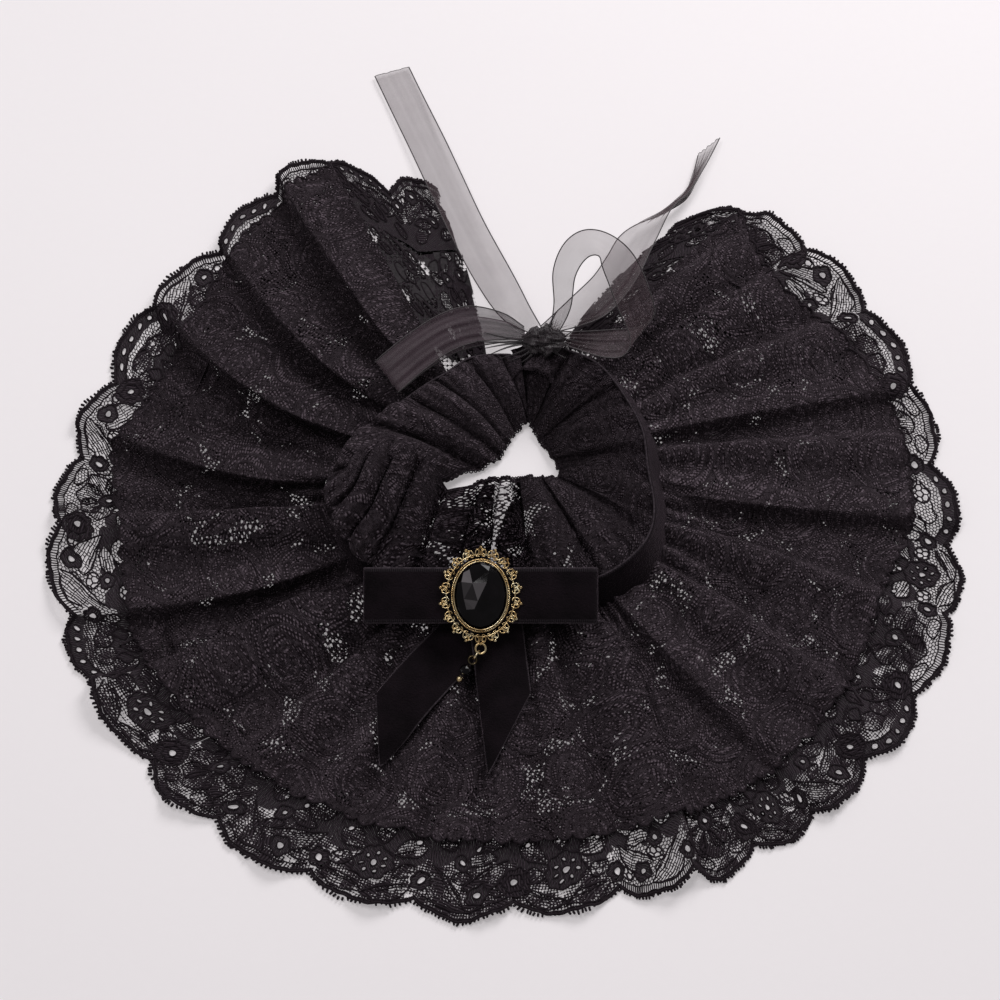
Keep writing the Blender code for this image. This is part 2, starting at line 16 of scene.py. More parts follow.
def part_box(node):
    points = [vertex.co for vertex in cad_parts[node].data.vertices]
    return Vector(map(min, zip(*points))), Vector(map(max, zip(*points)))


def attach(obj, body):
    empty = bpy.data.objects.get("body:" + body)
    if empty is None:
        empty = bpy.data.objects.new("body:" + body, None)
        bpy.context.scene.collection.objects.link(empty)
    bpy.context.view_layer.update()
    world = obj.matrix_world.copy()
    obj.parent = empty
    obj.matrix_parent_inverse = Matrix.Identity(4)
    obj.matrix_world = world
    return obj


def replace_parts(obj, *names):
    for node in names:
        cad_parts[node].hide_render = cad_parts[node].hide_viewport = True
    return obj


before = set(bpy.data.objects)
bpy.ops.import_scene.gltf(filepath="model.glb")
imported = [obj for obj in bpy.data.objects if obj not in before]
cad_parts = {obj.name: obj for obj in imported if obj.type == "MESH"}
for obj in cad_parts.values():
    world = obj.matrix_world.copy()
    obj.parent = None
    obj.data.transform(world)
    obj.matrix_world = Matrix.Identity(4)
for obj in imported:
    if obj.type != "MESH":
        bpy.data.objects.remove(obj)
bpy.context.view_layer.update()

MM = 0.001
CENTRE = np.array((-2.9, -1.7, 0.0))  # the neck centre in the frame
COLLAR = "collar"
DROP = "drop"

# The cape, as its solids have it
BAND_HEIGHT, BAND_SPREAD = 18.5, 7.0
BAND_START, BAND_END = 82.0, 426.0
CAPE_NECK_START, CAPE_NECK_END = 95.0, 424.0
OPENING = 94.0  # angles below this one are counted on from 360
CAPE_OFF_BAND = 1.7  # from the neckband's lower edge to the cape's
CLEAR = 1.35  # least height of the upper tier over the lower one
SCALLOP_BULGE = 6.0
STEEP_WIDTH, LEAN_REACH, WIDTHS_AT_RADIUS = 6.5, 13.0, 120.0
COLUMNS_PER_SCALLOP = 6
GATHERS_PER_SCALLOP, GATHER_HEIGHT, GATHER_DEPTH = 1.5, 2.4, 0.2
LOFT, FLUTE, MOST_UPPER_SHARE = 1.2, 1.6, 0.98
UPPER_FIRST, UPPER_LAST = 2.0, 28.0
RUFFLE_START = 84.0
RUFFLE_TOP, RUFFLE_EDGE, RUFFLE_ARCH = 17.3, 1.2, 2.6

NECK = np.array((
    # angle, radius of the neckband's top edge
    (80, 38.5), (96, 38.5), (115, 37), (137, 37), (158, 43), (174, 50), (190, 58), (206, 63), (228, 64),
    (245, 58), (264, 54), (285, 57), (306, 65), (325, 68), (349, 59), (370, 55), (390, 53), (405, 51),
    (426, 47), (442, 41),
), float)
HEM_NOTCHES = np.array((
    # angle, radius
    (101, 125), (110, 129), (117, 152), (127, 151), (140, 146), (153, 153), (167, 156), (179, 163),
    (189, 171), (201, 173), (211, 175), (223, 175), (234, 175), (247, 175), (260, 174), (272, 173),
    (285, 173), (293, 176), (302, 178), (310, 181), (319, 181), (329, 183), (340, 182), (349, 177),
    (360, 170), (372, 167), (384, 162), (396, 156), (408, 151), (416, 128),
), float)
SCALLOPS = len(HEM_NOTCHES) - 1
UPPER_HEM = np.array((
    # angle, radius
    (117, 149), (137, 140), (150, 135), (164, 137), (176, 149), (188, 146), (205, 153), (223, 152),
    (241, 150), (267, 149), (284, 151), (307, 158), (325, 158), (341, 155), (350, 160), (367, 157),
    (382, 146), (394, 136), (408, 146),
), float)
FOLDS = np.array((
    # neck angle, hem angle, height, steep side, gentle width, share of the height left at the hem, lean
    (126, 124, 9.0, 1, 19, 0.55, 0.5), (149, 138, 8.5, 1, 15, 0.50, 0.5), (166, 152, 10.0, 1, 18, 0.50, 0.6),
    (185, 173, 9.0, 1, 16, 0.35, 0.6), (199, 188, 7.0, -1, 14, 0.40, 0.4), (212, 200, 8.0, 1, 16, 0.45, 0.5),
    (228, 212, 11.0, -1, 22, 0.45, 0.6), (243, 229, 6.5, -1, 15, 0.40, 0.3), (252, 243, 5.5, 1, 12, 0.45, 0.0),
    (262, 256, 5.0, 1, 12, 0.60, 0.0), (274, 269, 5.0, -1, 12, 0.50, 0.0), (284, 281, 6.0, 1, 14, 0.35, 0.0),
    (298, 293, 9.0, 1, 17, 0.60, 0.5), (311, 312, 6.0, -1, 14, 0.45, 0.4), (324, 323, 5.0, 1, 14, 0.40, 0.3),
    (337, 338, 5.5, 1, 13, 0.35, 0.3), (351, 353, 7.0, -1, 16, 0.45, 0.5), (362, 363, 4.5, 1, 12, 0.40, 0.3),
    (373, 372, 6.5, -1, 15, 0.45, 0.4), (383, 383, 5.0, 1, 12, 0.40, 0.3), (393, 395, 8.0, 1, 16, 0.50, 0.5),
    (407, 404, 6.0, 1, 14, 0.55, 0.3),
), float)
FOLD_RISE = np.array(((0.0, 0.32), (0.1, 0.6), (0.25, 1.0), (1.0, 1.0)))
RUFFLE_EDGES = np.array((
    # angle on the band, edge x, edge y, wave height
    (84, 12.8, 19, 2.0), (100, 9, 15.5, 2.4), (118, 5, 10.5, 2.6), (137, 2.5, 5.5, 2.8), (158, -1, 1, 3.2),
    (174, -9, -3, 3.8), (190, -16, -6.5, 3.8), (206, -21, -9.5, 3.0), (218, -20, -13, 2.4),
    (230, -14, -11, 2.8), (246, -7, -8.2, 3.2), (264, 0, -7.0, 2.8), (286, 9, -6.6, 2.8), (306, 17, -6.4, 3.0),
    (328, 24.2, -6.2, 3.0), (349, 24.5, -2, 3.0), (370, 21, 4.5, 3.0), (390, 17.5, 9.5, 2.8), (406, 15, 14, 2.6),
    (422, 13.4, 17.5, 2.4), (436, 11, 19.5, 2.0),
), float)


# Camera, as the photograph's: 68 degrees above the surface, looking along +Y

ELEVATION, DISTANCE, AIM = 68.0, 0.867, (-0.0017, -0.0165, 0.0)


def add_camera():
    data = bpy.data.cameras.new("camera")
    data.lens, data.sensor_width, data.clip_start = 80.0, 36.0, 0.05
    camera = bpy.data.objects.new("camera", data)
    up = math.radians(ELEVATION)
    camera.location = Vector(AIM) + Vector((0.0, -math.cos(up), math.sin(up))) * DISTANCE
    camera.rotation_euler = (math.pi / 2 - up, 0.0, 0.0)
    bpy.context.scene.collection.objects.link(camera)
    bpy.context.scene.camera = camera


add_camera()


# Reading the tables


def lerp(a, b, share):
    return a + (b - a) * share


def bell(x, middle, width):
    """A smooth bump, 1 at its middle."""
    return np.exp(-(((x - middle) / width) ** 2))


def runs(shown):
    """Start and end of each run of more than two points that show."""
    spans = np.flatnonzero(np.diff(np.concatenate(((0,), shown.astype(int), (0,)))))
    return [(start, end) for start, end in zip(spans[::2], spans[1::2]) if end - start > 2]


def along(rows, place, column=1):
    """Smooth curve through one column of a table, read at places in its first column."""
    x, y = rows[:, 0], rows[:, column]
    place = np.asarray(place, float)
    k = np.clip(np.searchsorted(x, place) - 1, 0, len(x) - 2)
    low, high = np.maximum(np.arange(len(x)) - 1, 0), np.minimum(np.arange(len(x)) + 1, len(x) - 1)
    slope = (y[high] - y[low]) / (x[high] - x[low])
    span = x[k + 1] - x[k]
    u = np.clip((place - x[k]) / span, 0.0, 1.0)
    return (
        y[k] * (1 + 2 * u) * (1 - u) ** 2
        + y[k + 1] * (3 - 2 * u) * u**2
        + slope[k] * span * u * (1 - u) ** 2
        - slope[k + 1] * span * u**2 * (1 - u)
    )


def cape_line(place):
    """The line that the cloth follows from neck to hem, at places counted in scallops."""
    hem_angle, hem_radius = (np.interp(place, np.arange(SCALLOPS + 1), column) for column in HEM_NOTCHES.T)
    hems = (HEM_NOTCHES[0, 0], *FOLDS[:, 1], HEM_NOTCHES[-1, 0])
    necks = (CAPE_NECK_START, *FOLDS[:, 0], CAPE_NECK_END)
    neck_angle = np.interp(hem_angle, hems, necks)
    inner = along(NECK, neck_angle) + BAND_SPREAD + CAPE_OFF_BAND
    return neck_angle, hem_angle, inner, hem_radius


def upper_hem_share(place):
    _, hem_angle, inner, outer = cape_line(place)
    return np.minimum((along(UPPER_HEM, hem_angle) - inner) / (outer - inner), MOST_UPPER_SHARE)


def fold_terms(place, s):
    """Height of the folds that both tiers share, and how far they lean sideways for each mm of height."""
    neck_angle, hem_angle, inner, outer = cape_line(place)
    angle, radius = lerp(neck_angle, hem_angle, s), lerp(inner, outer, s)
    scale = (radius / WIDTHS_AT_RADIUS) ** 0.7
    within = np.clip(s, 0.0, 1.0)
    rise = along(FOLD_RISE, within)
    fade = np.clip((within - 0.3) / 0.7, 0.0, 1.0)
    height, lean = np.zeros_like(angle), np.zeros_like(angle)
    for neck, hem, top, side, gentle, hem_part, tilt in FOLDS:
        from_crest = np.radians(angle - lerp(neck, hem, np.minimum(s, 1.0))) * radius * side
        reach = np.where(from_crest > 0, STEEP_WIDTH, gentle) * scale
        bump = np.where(np.abs(from_crest) < reach, 0.5 + 0.5 * np.cos(np.pi * from_crest / reach), 0.0)
        height += top * rise * lerp(1.0, hem_part, fade) * bump
        lean += side * tilt * bell(from_crest, 0.0, LEAN_REACH * scale)
    return angle, radius, height, lean


def cape_point(place, s, extra):
    """Points over the cape at extra mm above its lower tier's underside, moved sideways as far as the folds lean."""
    place, s = np.broadcast_arrays(np.asarray(place, float), np.asarray(s, float))
    angle, radius, height, lean = fold_terms(place, s)
    height = height + extra
    turn = np.radians(angle)
    x = radius * np.cos(turn) - np.sin(turn) * lean * height
    y = radius * np.sin(turn) + np.cos(turn) * lean * height
    return np.stack((x, y, height), axis=-1)


def ripple(place, s, size, seed, waves=9):
    """Soft uneven relief from a few crossing waves, between -1 and 1."""
    draw = np.random.default_rng(seed)
    total = np.zeros(np.broadcast(place, s).shape)
    for _ in range(waves):
        across, down, phase = draw.uniform(-1, 1) * size, draw.uniform(-1, 1) * size * 2.5, draw.uniform(0, 6.28)
        total = total + np.sin(across * place + down * s + phase)
    return total / waves**0.5 / 1.6


def clear_of_lower(place, s):
    """How far the upper tier starts over the lower one, so that it is clear of it on the folds' flanks too."""
    step = 1.0 / COLUMNS_PER_SCALLOP
    left, here, right = (cape_point(np.clip(place + side * step, 0, SCALLOPS), s, 0.0) for side in (-1, 0, 1))
    upward = cape_point(place, s, 1.0) - here
    most = np.ones(here.shape[:-1])
    for near, far in ((left, here), (here, right)):
        run = far - near
        length = np.linalg.norm(run, axis=-1)
        cross = np.linalg.norm(np.cross(upward, run), axis=-1) / np.maximum(length, 1e-6)
        most = np.where(length > 1e-6, np.maximum(most, 1.0 / np.maximum(cross, 0.3)), most)
    return CLEAR * most


def upper_point(place, s, lift=0.0):
    """Points of the upper tier, half its wall above its solid's underside."""
    place, s = np.broadcast_arrays(np.asarray(place, float), np.asarray(s, float))
    share = s / upper_hem_share(place)
    gather = 0.5 - 0.5 * np.cos(2 * np.pi * place * GATHERS_PER_SCALLOP)
    uneven = 1.0 + 0.45 * ripple(place, 0.0 * s, 3.0, 11)
    flute = 0.5 - 0.5 * np.cos(2 * np.pi * place * 1.3)
    own = GATHER_HEIGHT * gather * uneven * bell(share, 0.0, GATHER_DEPTH)
    own = own + LOFT * np.sin(np.pi * np.minimum(share, 1.0)) + FLUTE * flute * share**3
    own = own + 0.45 * ripple(place, s, 2.6, 12) * np.clip(share * 4, 0, 1)
    return cape_point(place, s, clear_of_lower(place, s) + own + 0.5 + lift)


def lower_point(place, s, lift=0.0):
    """Points of the lower tier, just over its solid's underside."""
    return cape_point(place, s, 0.45 + lift)


def cape_address(x, y):
    """The place and share on the cape whose line passes over a point of the plan."""
    angle = np.degrees(np.arctan2(y, x)) % 360.0
    angle = np.where(angle < OPENING, angle + 360.0, angle)
    radius, places = np.hypot(x, y), np.arange(SCALLOPS + 1)
    place = np.interp(angle, HEM_NOTCHES[:, 0], places)
    for _ in range(8):
        neck_angle, hem_angle, inner, outer = cape_line(place)
        s = (radius - inner) / (outer - inner)
        place = np.interp(hem_angle + angle - lerp(neck_angle, hem_angle, s), HEM_NOTCHES[:, 0], places)
    return place, s


# Meshes


def add_mesh(name, points, faces, material, body=COLLAR, smooth=True, uv=None, values=(), slot=None):
    """One piece from points in mm about the neck centre and faces that all have as many corners."""
    faces = np.asarray(faces, np.int32)
    mesh = bpy.data.meshes.new(name)
    mesh.vertices.add(len(points))
    mesh.vertices.foreach_set("co", ((np.asarray(points) + CENTRE) * MM).ravel())
    mesh.loops.add(faces.size)
    mesh.loops.foreach_set("vertex_index", faces.ravel())
    mesh.polygons.add(len(faces))
    mesh.polygons.foreach_set("loop_start", np.arange(0, faces.size, faces.shape[1], dtype=np.int32))
    mesh.update(calc_edges=True)
    if uv is not None:
        mesh.uv_layers.new(name="UVMap").uv.foreach_set("vector", np.asarray(uv, float)[faces.ravel()].ravel())
    for label, numbers in dict(values).items():
        kind, field = ("FLOAT_VECTOR", "vector") if np.shape(numbers)[-1] == 3 else ("FLOAT", "value")
        mesh.attributes.new(label, kind, "POINT").data.foreach_set(field, np.asarray(numbers, float).ravel())
    mesh.validate()
    mesh.polygons.foreach_set("use_smooth", np.full(len(mesh.polygons), smooth))
    mesh.materials.append(material)
    piece = bpy.data.objects.new(name, mesh)
    bpy.context.scene.collection.objects.link(piece)
    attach(piece, body)
    return piece


def grid_faces(rows, columns, start=0):
    k = start + np.arange(rows * columns).reshape(rows, columns)
    return np.stack((k[:-1, :-1], k[:-1, 1:], k[1:, 1:], k[1:, :-1]), axis=-1).reshape(-1, 4)


def add_shell(name, points, material, thickness=0.0, flat=None, **more):
    """Cloth through a grid of points, rows by columns, and where it lies when it is flat, in mm."""
    rows, columns = points.shape[:2]
    if flat:
        more["uv"] = np.stack(np.broadcast_arrays(*flat), -1).reshape(-1, 2) * FLAT
    piece = add_mesh(name, points.reshape(-1, 3), grid_faces(rows, columns), material, **more)
    if thickness:
        wall = piece.modifiers.new("wall", "SOLIDIFY")
        wall.thickness = thickness * MM
        wall.offset = 0.0
    return piece


class Cords:
    """Round threads, cords and wires, gathered into one mesh."""

    def __init__(self):
        self.points, self.faces, self.count = [], [], 0

    def add(self, line, radius, sides=4, closed=False, up=(0.0, 0.0, 1.0)):
        """One cord along a line, with one radius or one for each of its points."""
        line = np.asarray(line, float)
        radius = np.broadcast_to(np.asarray(radius, float), len(line))[:, None, None]
        if closed:
            ahead = np.roll(line, -1, 0) - np.roll(line, 1, 0)
        else:
            ahead = np.gradient(line, axis=0)
        ahead /= np.maximum(np.linalg.norm(ahead, axis=1, keepdims=True), 1e-9)
        across = np.cross(ahead, np.broadcast_to(np.asarray(up, float), line.shape))
        across /= np.maximum(np.linalg.norm(across, axis=1, keepdims=True), 1e-9)
        normal = np.cross(across, ahead)
        turn = 2 * np.pi * np.arange(sides) / sides + np.pi / sides
        ring = np.cos(turn)[None, :, None] * across[:, None] + np.sin(turn)[None, :, None] * normal[:, None]
        self.points.append((line[:, None] + ring * radius).reshape(-1, 3))
        n = len(line)
        k = self.count + np.arange(n * sides).reshape(n, sides)
        near, far = (k, np.roll(k, -1, 0)) if closed else (k[:-1], k[1:])
        quads = np.stack((near, np.roll(near, -1, 1), np.roll(far, -1, 1), far), axis=-1)
        self.faces.append(quads.reshape(-1, 4))
        self.count += n * sides

    def strands(self, start, end, width):
        """Many short flat threads at once."""
        across = np.cross(end - start, np.array((0.0, 0.0, 1.0)))
        across *= (width / 2) / np.maximum(np.linalg.norm(across, axis=1, keepdims=True), 1e-9)
        corners = np.stack((start - across, start + across, end + across, end - across), axis=1)
        self.points.append(corners.reshape(-1, 3))
        self.faces.append(self.count + np.arange(len(start) * 4).reshape(-1, 4))
        self.count += len(start) * 4

    def piece(self, name, material, **more):
        return add_mesh(name, np.concatenate(self.points), np.concatenate(self.faces), material, **more)


# Materials. Scales are in waves or cells per metre, and for flat coordinates 100 over a size in mm

FLAT = 0.01  # flat coordinates of a mm of cloth
MAUVE = (1.0, 0.80, 0.93, 1.0)  # the tint of the blacks in the light
PETAL_RING, PETAL_LOBE, PETAL_SWIRL = 2.6, 1.3, 0.9  # mm from rim to rim, how far a petal bulges, stagger per mm
PETALS_AROUND, LOBE_ROUND, LOBE_LEVEL, ROSE_SWELL = 2.5, 0.6, 0.3, 0.14


class Nodes:
    """A short way to lay out a material's nodes. A socket's name has _ for each space."""

    def __init__(self, name, **values):
        self.material = bpy.data.materials.new(name)
        self.material.use_nodes = True
        self.tree = self.material.node_tree
        self.shader = self.tree.nodes["Principled BSDF"]
        for socket, value in values.items():
            self.shader.inputs[socket.replace("_", " ")].default_value = value

    def node(self, kind, inputs, output=0, **settings):
        made = self.tree.nodes.new("ShaderNode" + kind)
        for key, value in settings.items():
            setattr(made, key, value)
        for key, value in inputs.items():
            if isinstance(value, bpy.types.NodeSocket):
                self.tree.links.new(value, made.inputs[key])
            else:
                made.inputs[key].default_value = value
        return made.outputs[output]

    def math(self, operation, a, b=0.0, c=0.0):
        return self.node("Math", {0: a, 1: b, 2: c}, operation=operation)

    def total(self, start, *terms):
        """A start value and further values, each times its weight."""
        for value, weight in terms:
            start = self.math("MULTIPLY_ADD", value, weight, start)
        return start

    def ramp(self, value, *stops):
        made = self.tree.nodes.new("ShaderNodeValToRGB")
        self.tree.links.new(value, made.inputs[0])
        elements = made.color_ramp.elements
        while len(elements) < len(stops):
            elements.new(0.5)
        for element, (place, colour) in zip(elements, stops):
            element.position = place
            element.color = (*colour, 1.0) if hasattr(colour, "__len__") else (colour, colour, colour, 1.0)
        return made.outputs[0]

    def mix(self, factor, a, b):
        return self.node("Mix", {0: factor, 6: a, 7: b}, output=2, data_type="RGBA")

    def attribute(self, name, output=2):
        return self.node("Attribute", {}, output=output, attribute_name=name)

    def noise(self, scale, detail=2.0, vector=None, output=0):
        """Noise in the object's own metres, or over another vector."""
        vector = vector or self.node("TexCoord", {}, output=3)
        return self.node("TexNoise", {"Vector": vector, "Scale": scale, "Detail": detail}, output=output)

    def cells(self, vector, size, random, output=0, **settings):
        """Cells of about size mm in flat coordinates."""
        inputs = {"Vector": vector, "Scale": 100.0 / size, "Randomness": random}
        return self.node("TexVoronoi", inputs, output=output, voronoi_dimensions="2D", **settings)

    def flat(self):
        """The cloth's own flat coordinates, where 1 is 100 mm."""
        return self.node("TexCoord", {}, output=2)

    def part(self, vector, axis):
        return self.node("SeparateXYZ", {0: vector}, output=axis)

    def turned(self, vector, angle):
        return self.node("VectorRotate", {"Vector": vector, "Angle": angle}, rotation_type="Z_AXIS")

    def lines(self, vector, pitch, turn):
        """Parallel raised lines in flat coordinates, pitch in mm, turned by a share of a full turn."""
        across = self.part(self.turned(vector, self.math("MULTIPLY", turn, 6.2832)), 0)
        return self.total(0.5, (self.math("SINE", self.math("MULTIPLY", across, 2 * math.pi * 100.0 / pitch)), 0.5))

    def set(self, socket, value):
        self.tree.links.new(value, self.shader.inputs[socket])

    def pierce(self, hole, where):
        """Clear where both values are 1."""
        self.set("Alpha", self.math("SUBTRACT", 1.0, self.math("MULTIPLY", hole, where)))

    def bump(self, height, distance, strength):
        self.set("Normal", self.node("Bump", {"Height": height, "Distance": distance, "Strength": strength}))


def spun(name, scale, detail, dark, light, light_at, depth, strength, **sockets):
    """Threads whose colour and relief follow one noise."""
    n = Nodes(name, **sockets)
    noise = n.noise(scale, detail)
    n.set("Base Color", n.ramp(noise, (0.3, dark), (light_at, light)))
    n.bump(noise, depth, strength)
    return n


def matte(roughness, sheen, specular):
    """Socket values that the lace's and ribbons' threads share."""
    return {"Roughness": roughness, "Sheen_Weight": sheen, "Sheen_Roughness": 0.5, "Sheen_Tint": MAUVE,
            "Specular_IOR_Level": specular}


def fill_material():
    """The close fill of the lower tier's motifs, and its fine tulle, which the value "veil" tells apart."""
    n = Nodes("lace_fill", **matte(0.85, 0.08, 0.35), Specular_Tint=MAUVE)
    flat, veil, grain = n.flat(), n.attribute("veil"), n.attribute("grain")
    lines, noise = n.lines(flat, 1.0, grain), n.noise(700.0, 3.0)
    n.set("Base Color", n.ramp(n.math("MULTIPLY", lines, noise), (0.10, (0.0026, 0.0018, 0.0024)),
                               (0.55, (0.046, 0.036, 0.044))))
    n.bump(lines, 0.00025, 0.8)
    close = n.ramp(n.total(lines, (noise, 0.3)), (0.03, 0.5), (0.20, 1.0))
    size = n.total(-0.57, (n.lines(flat, 2.1, grain), 0.12), (n.noise(190.0, 2.0), 1.5))
    n.set("Alpha", n.mix(veil, close, n.math("GREATER_THAN", n.cells(flat, 1.0, 0.2), size)))
    return n.material


def petal_rims(n, flat):
    """How far a point is from the rims of a rose's petals: 0 on a rim, 1 away from it. As petals_out has them."""
    bloom = n.attribute("bloom", 1)
    dx, dy, seed = (n.part(bloom, axis) for axis in range(3))
    turn = n.math("ARCTAN2", dy, dx)
    radius = n.math("SQRT", n.total(n.math("MULTIPLY", dy, dy), (dx, dx)))
    radius = n.total(n.math("SUBTRACT", radius, 1.2), (n.noise(100.0 / 6.0, 1.0, flat), 2.4))
    swirl = n.total(seed, (radius, PETAL_SWIRL), (turn, PETALS_AROUND))
    lobes = n.math("POWER", n.math("ABSOLUTE", n.math("SINE", swirl)), LOBE_ROUND)
    swell = n.total(1.0, (n.math("SINE", n.math("ADD", turn, seed)), ROSE_SWELL))
    out = n.total(LOBE_LEVEL * PETAL_LOBE, (radius, swell), (lobes, -PETAL_LOBE))
    share = n.math("FRACT", n.math("DIVIDE", out, PETAL_RING))
    away = n.math("SUBTRACT", 0.5, n.math("ABSOLUTE", n.math("SUBTRACT", share, 0.5)))
    return n.ramp(away, (0.04, 0.0), (0.19, 1.0))


def dense_lace_material():
    """Rose lace: petals in close knit of different directions, with small clusters of pinholes between them, and
    painted shade in its folds.
    """
    n = Nodes("dense_lace", Roughness=0.9, Sheen_Roughness=0.5, Sheen_Tint=MAUVE, Specular_Tint=MAUVE)
    flat = warped = n.flat()
    tone, grain, net, hollow, ladder = (n.attribute(name) for name in ("tone", "grain", "net", "hollow", "ladder"))
    for size, detail, reach in ((8.0, 2.0, 0.045), (2.6, 1.0, 0.016)):
        drift = n.noise(100.0 / size, detail, flat, output=1)
        warped = n.node("VectorMath", {0: drift, 1: (reach, reach, 0.0), 2: warped}, operation="MULTIPLY_ADD")
    random = n.part(n.cells(warped, 5.6, 1.0, output=1), 0)
    rim = n.ramp(n.cells(warped, 5.6, 1.0, feature="DISTANCE_TO_EDGE"), (0.0, 0.0), (0.16, 1.0))
    heading = n.total(grain, (random, 0.10))
    lines = n.lines(flat, 1.0, heading)
    knit = n.math("MULTIPLY", lines, n.lines(flat, 1.25, n.math("ADD", heading, 0.25)))
    arcs = petal_rims(n, flat)
    stitches, rough, blotch, soft = (n.noise(*kind) for kind in ((850.0, 1.0), (400.0, 3.0), (150.0, 3.0), (45.0, 2.0)))
    shade = n.total(-0.297, (tone, 0.20), (lines, 0.10), (knit, 0.36), (stitches, 0.62), (rough, 0.28),
                    (blotch, 0.10), (soft, 0.07), (random, 0.05), (rim, 0.04), (arcs, 0.17))
    # A lit copy and a painted-shade copy of the same colours, mixed by the painted shade
    lit = n.ramp(shade, (0.60, (0.0034, 0.0021, 0.0028)), (0.69, (0.0136, 0.0094, 0.0120)),
                 (0.83, (0.140, 0.112, 0.132)))
    dim = n.ramp(shade, (0.60, (0.0028, 0.0018, 0.0024)), (0.69, (0.0074, 0.0052, 0.0066)),
                 (0.83, (0.068, 0.054, 0.064)))
    n.set("Base Color", n.mix(n.math("MULTIPLY", hollow, 0.9), lit, dim))
    # Painted shade also dulls the shine and the sheen where it lies
    n.set("Specular IOR Level", n.total(0.35, (hollow, -0.20)))
    n.set("Sheen Weight", n.total(0.08, (hollow, -0.05)))
    size = n.total(-0.20, (rough, 0.90), (ladder, 0.24))
    hole = n.math("LESS_THAN", n.cells(n.turned(flat, 0.66), 1.45, 0.42), size)
    n.pierce(hole, n.math("GREATER_THAN", n.total(blotch, (net, 0.55), (ladder, 1.0)), 0.95))
    n.bump(n.total(0.0, (knit, 0.7), (rough, 0.5), (stitches, 0.7), (arcs, 0.9)), 0.0007, 1.0)
    return n.material


def under_net_material():
    """The lower tier's net ground where it lies under the upper tier, with its denser sprigs."""
    n = spun("net_ground", 800.0, 2.0, (0.008, 0.0058, 0.0072), (0.028, 0.021, 0.026), 0.7, 0.0004, 0.8,
             Roughness=0.8, Sheen_Weight=0.2)
    flat = n.flat()
    mesh, between_sprigs = n.cells(flat, 1.9, 0.15), n.cells(flat, 16.0, 0.8)
    n.pierce(n.math("LESS_THAN", mesh, 0.47), n.math("GREATER_THAN", between_sprigs, 0.30))
    return n.material


def velvet_material():
    """Cotton velvet ribbon: a deep pile that only shines where it is seen along its surface, and woven edges."""
    n = Nodes("velvet_pile", Roughness=0.95, Sheen_Weight=0.35, Sheen_Roughness=0.3, Specular_IOR_Level=0.15,
              Sheen_Tint=(0.50, 0.38, 0.46, 1.0))
    pile, nap = n.noise(1500.0, 3.0), n.noise(90.0, 3.0)
    ground = n.ramp(n.total(n.math("MULTIPLY", pile, 0.3), (nap, 0.7)),
                    (0.35, (0.0030, 0.0016, 0.0026)), (0.75, (0.0122, 0.0072, 0.0106)))
    woven = n.ramp(n.lines(n.flat(), 0.8, 0.0), (0.2, (0.007, 0.005, 0.0065)), (0.8, (0.024, 0.019, 0.023)))
    n.set("Base Color", n.mix(n.ramp(n.attribute("edge"), (0.45, 0.0), (0.6, 1.0)), ground, woven))
    n.bump(n.total(n.math("MULTIPLY", nap, 0.8), (pile, 1.0)), 0.0006, 0.8)
    return n.material


def organza_material(name, alpha, tint):
    """Sheer crossing threads with a soft gloss."""
    n = Nodes(name, Roughness=0.42, Sheen_Weight=0.5, Sheen_Roughness=0.3)
    flat = n.flat()
    threads = n.math("MAXIMUM", n.lines(flat, 0.42, 0.0), n.lines(flat, 0.50, 0.25))
    soft = n.noise(120.0, 3.0)
    shade = n.total(n.math("MULTIPLY", soft, 0.5), (threads, 0.5))
    n.set("Base Color", n.ramp(shade, (0.25, tuple(c * 0.55 for c in tint)), (0.8, tint)))
    n.set("Alpha", n.ramp(n.total(n.math("MULTIPLY", soft, 0.4), (threads, 0.6)), (0.2, alpha * 0.55), (0.85, alpha)))
    n.bump(n.math("ADD", threads, soft), 0.0001, 0.4)
    return n.material


def gold_material(name, surface_values):
    """Antique gold: dark in its hollows, rubbed bright where it is touched."""
    n = Nodes(name, Metallic=1.0)
    patches, grain = n.noise(260.0, 4.0), n.noise(1400.0, 2.0)
    stops = ((0.32, (0.40, 0.26, 0.11)), (0.48, (0.86, 0.65, 0.34)), (0.66, (1.0, 0.90, 0.62)))
    n.set("Base Color", n.ramp(patches, *((at, tuple(c * surface_values for c in tone)) for at, tone in stops)))
    n.set("Roughness", n.ramp(patches, (0.3, 0.34), (0.7, 0.13)))
    n.bump(n.total(patches, (grain, 0.5)), 0.00008, 0.7)
    return n.material


def stone_material():
    """Polished black glass, with the faintest cloud in it, and painted reflections on a few facets."""
    n = Nodes("black_glass", IOR=1.5, Specular_IOR_Level=0.24)
    inner = n.ramp(n.noise(180.0, 3.0), (0.35, (0.0015, 0.0010, 0.0014)), (0.7, (0.0045, 0.0035, 0.0045)))
    # Painted reflection: the marked facets get a light grey colour
    n.set("Base Color", n.mix(n.attribute("painted_glint"), inner, (0.185, 0.171, 0.180, 1.0)))
    n.set("Roughness", n.ramp(n.noise(500.0, 2.0), (0.3, 0.02), (0.8, 0.07)))
    return n.material


def floor_material():
    n = Nodes("white_paper", Roughness=0.9, Emission_Color=(0.98, 0.94, 0.955, 1.0), Emission_Strength=0.28)
    grain, wide = n.noise(350.0, 4.0), n.noise(3.0, 2.0)
    n.set("Base Color", n.ramp(n.total(n.math("MULTIPLY", wide, 0.7), (grain, 0.3)),
                               (0.3, (0.835, 0.800, 0.818)), (0.7, (0.872, 0.838, 0.855))))
    n.bump(grain, 0.00005, 0.3)
    return n.material


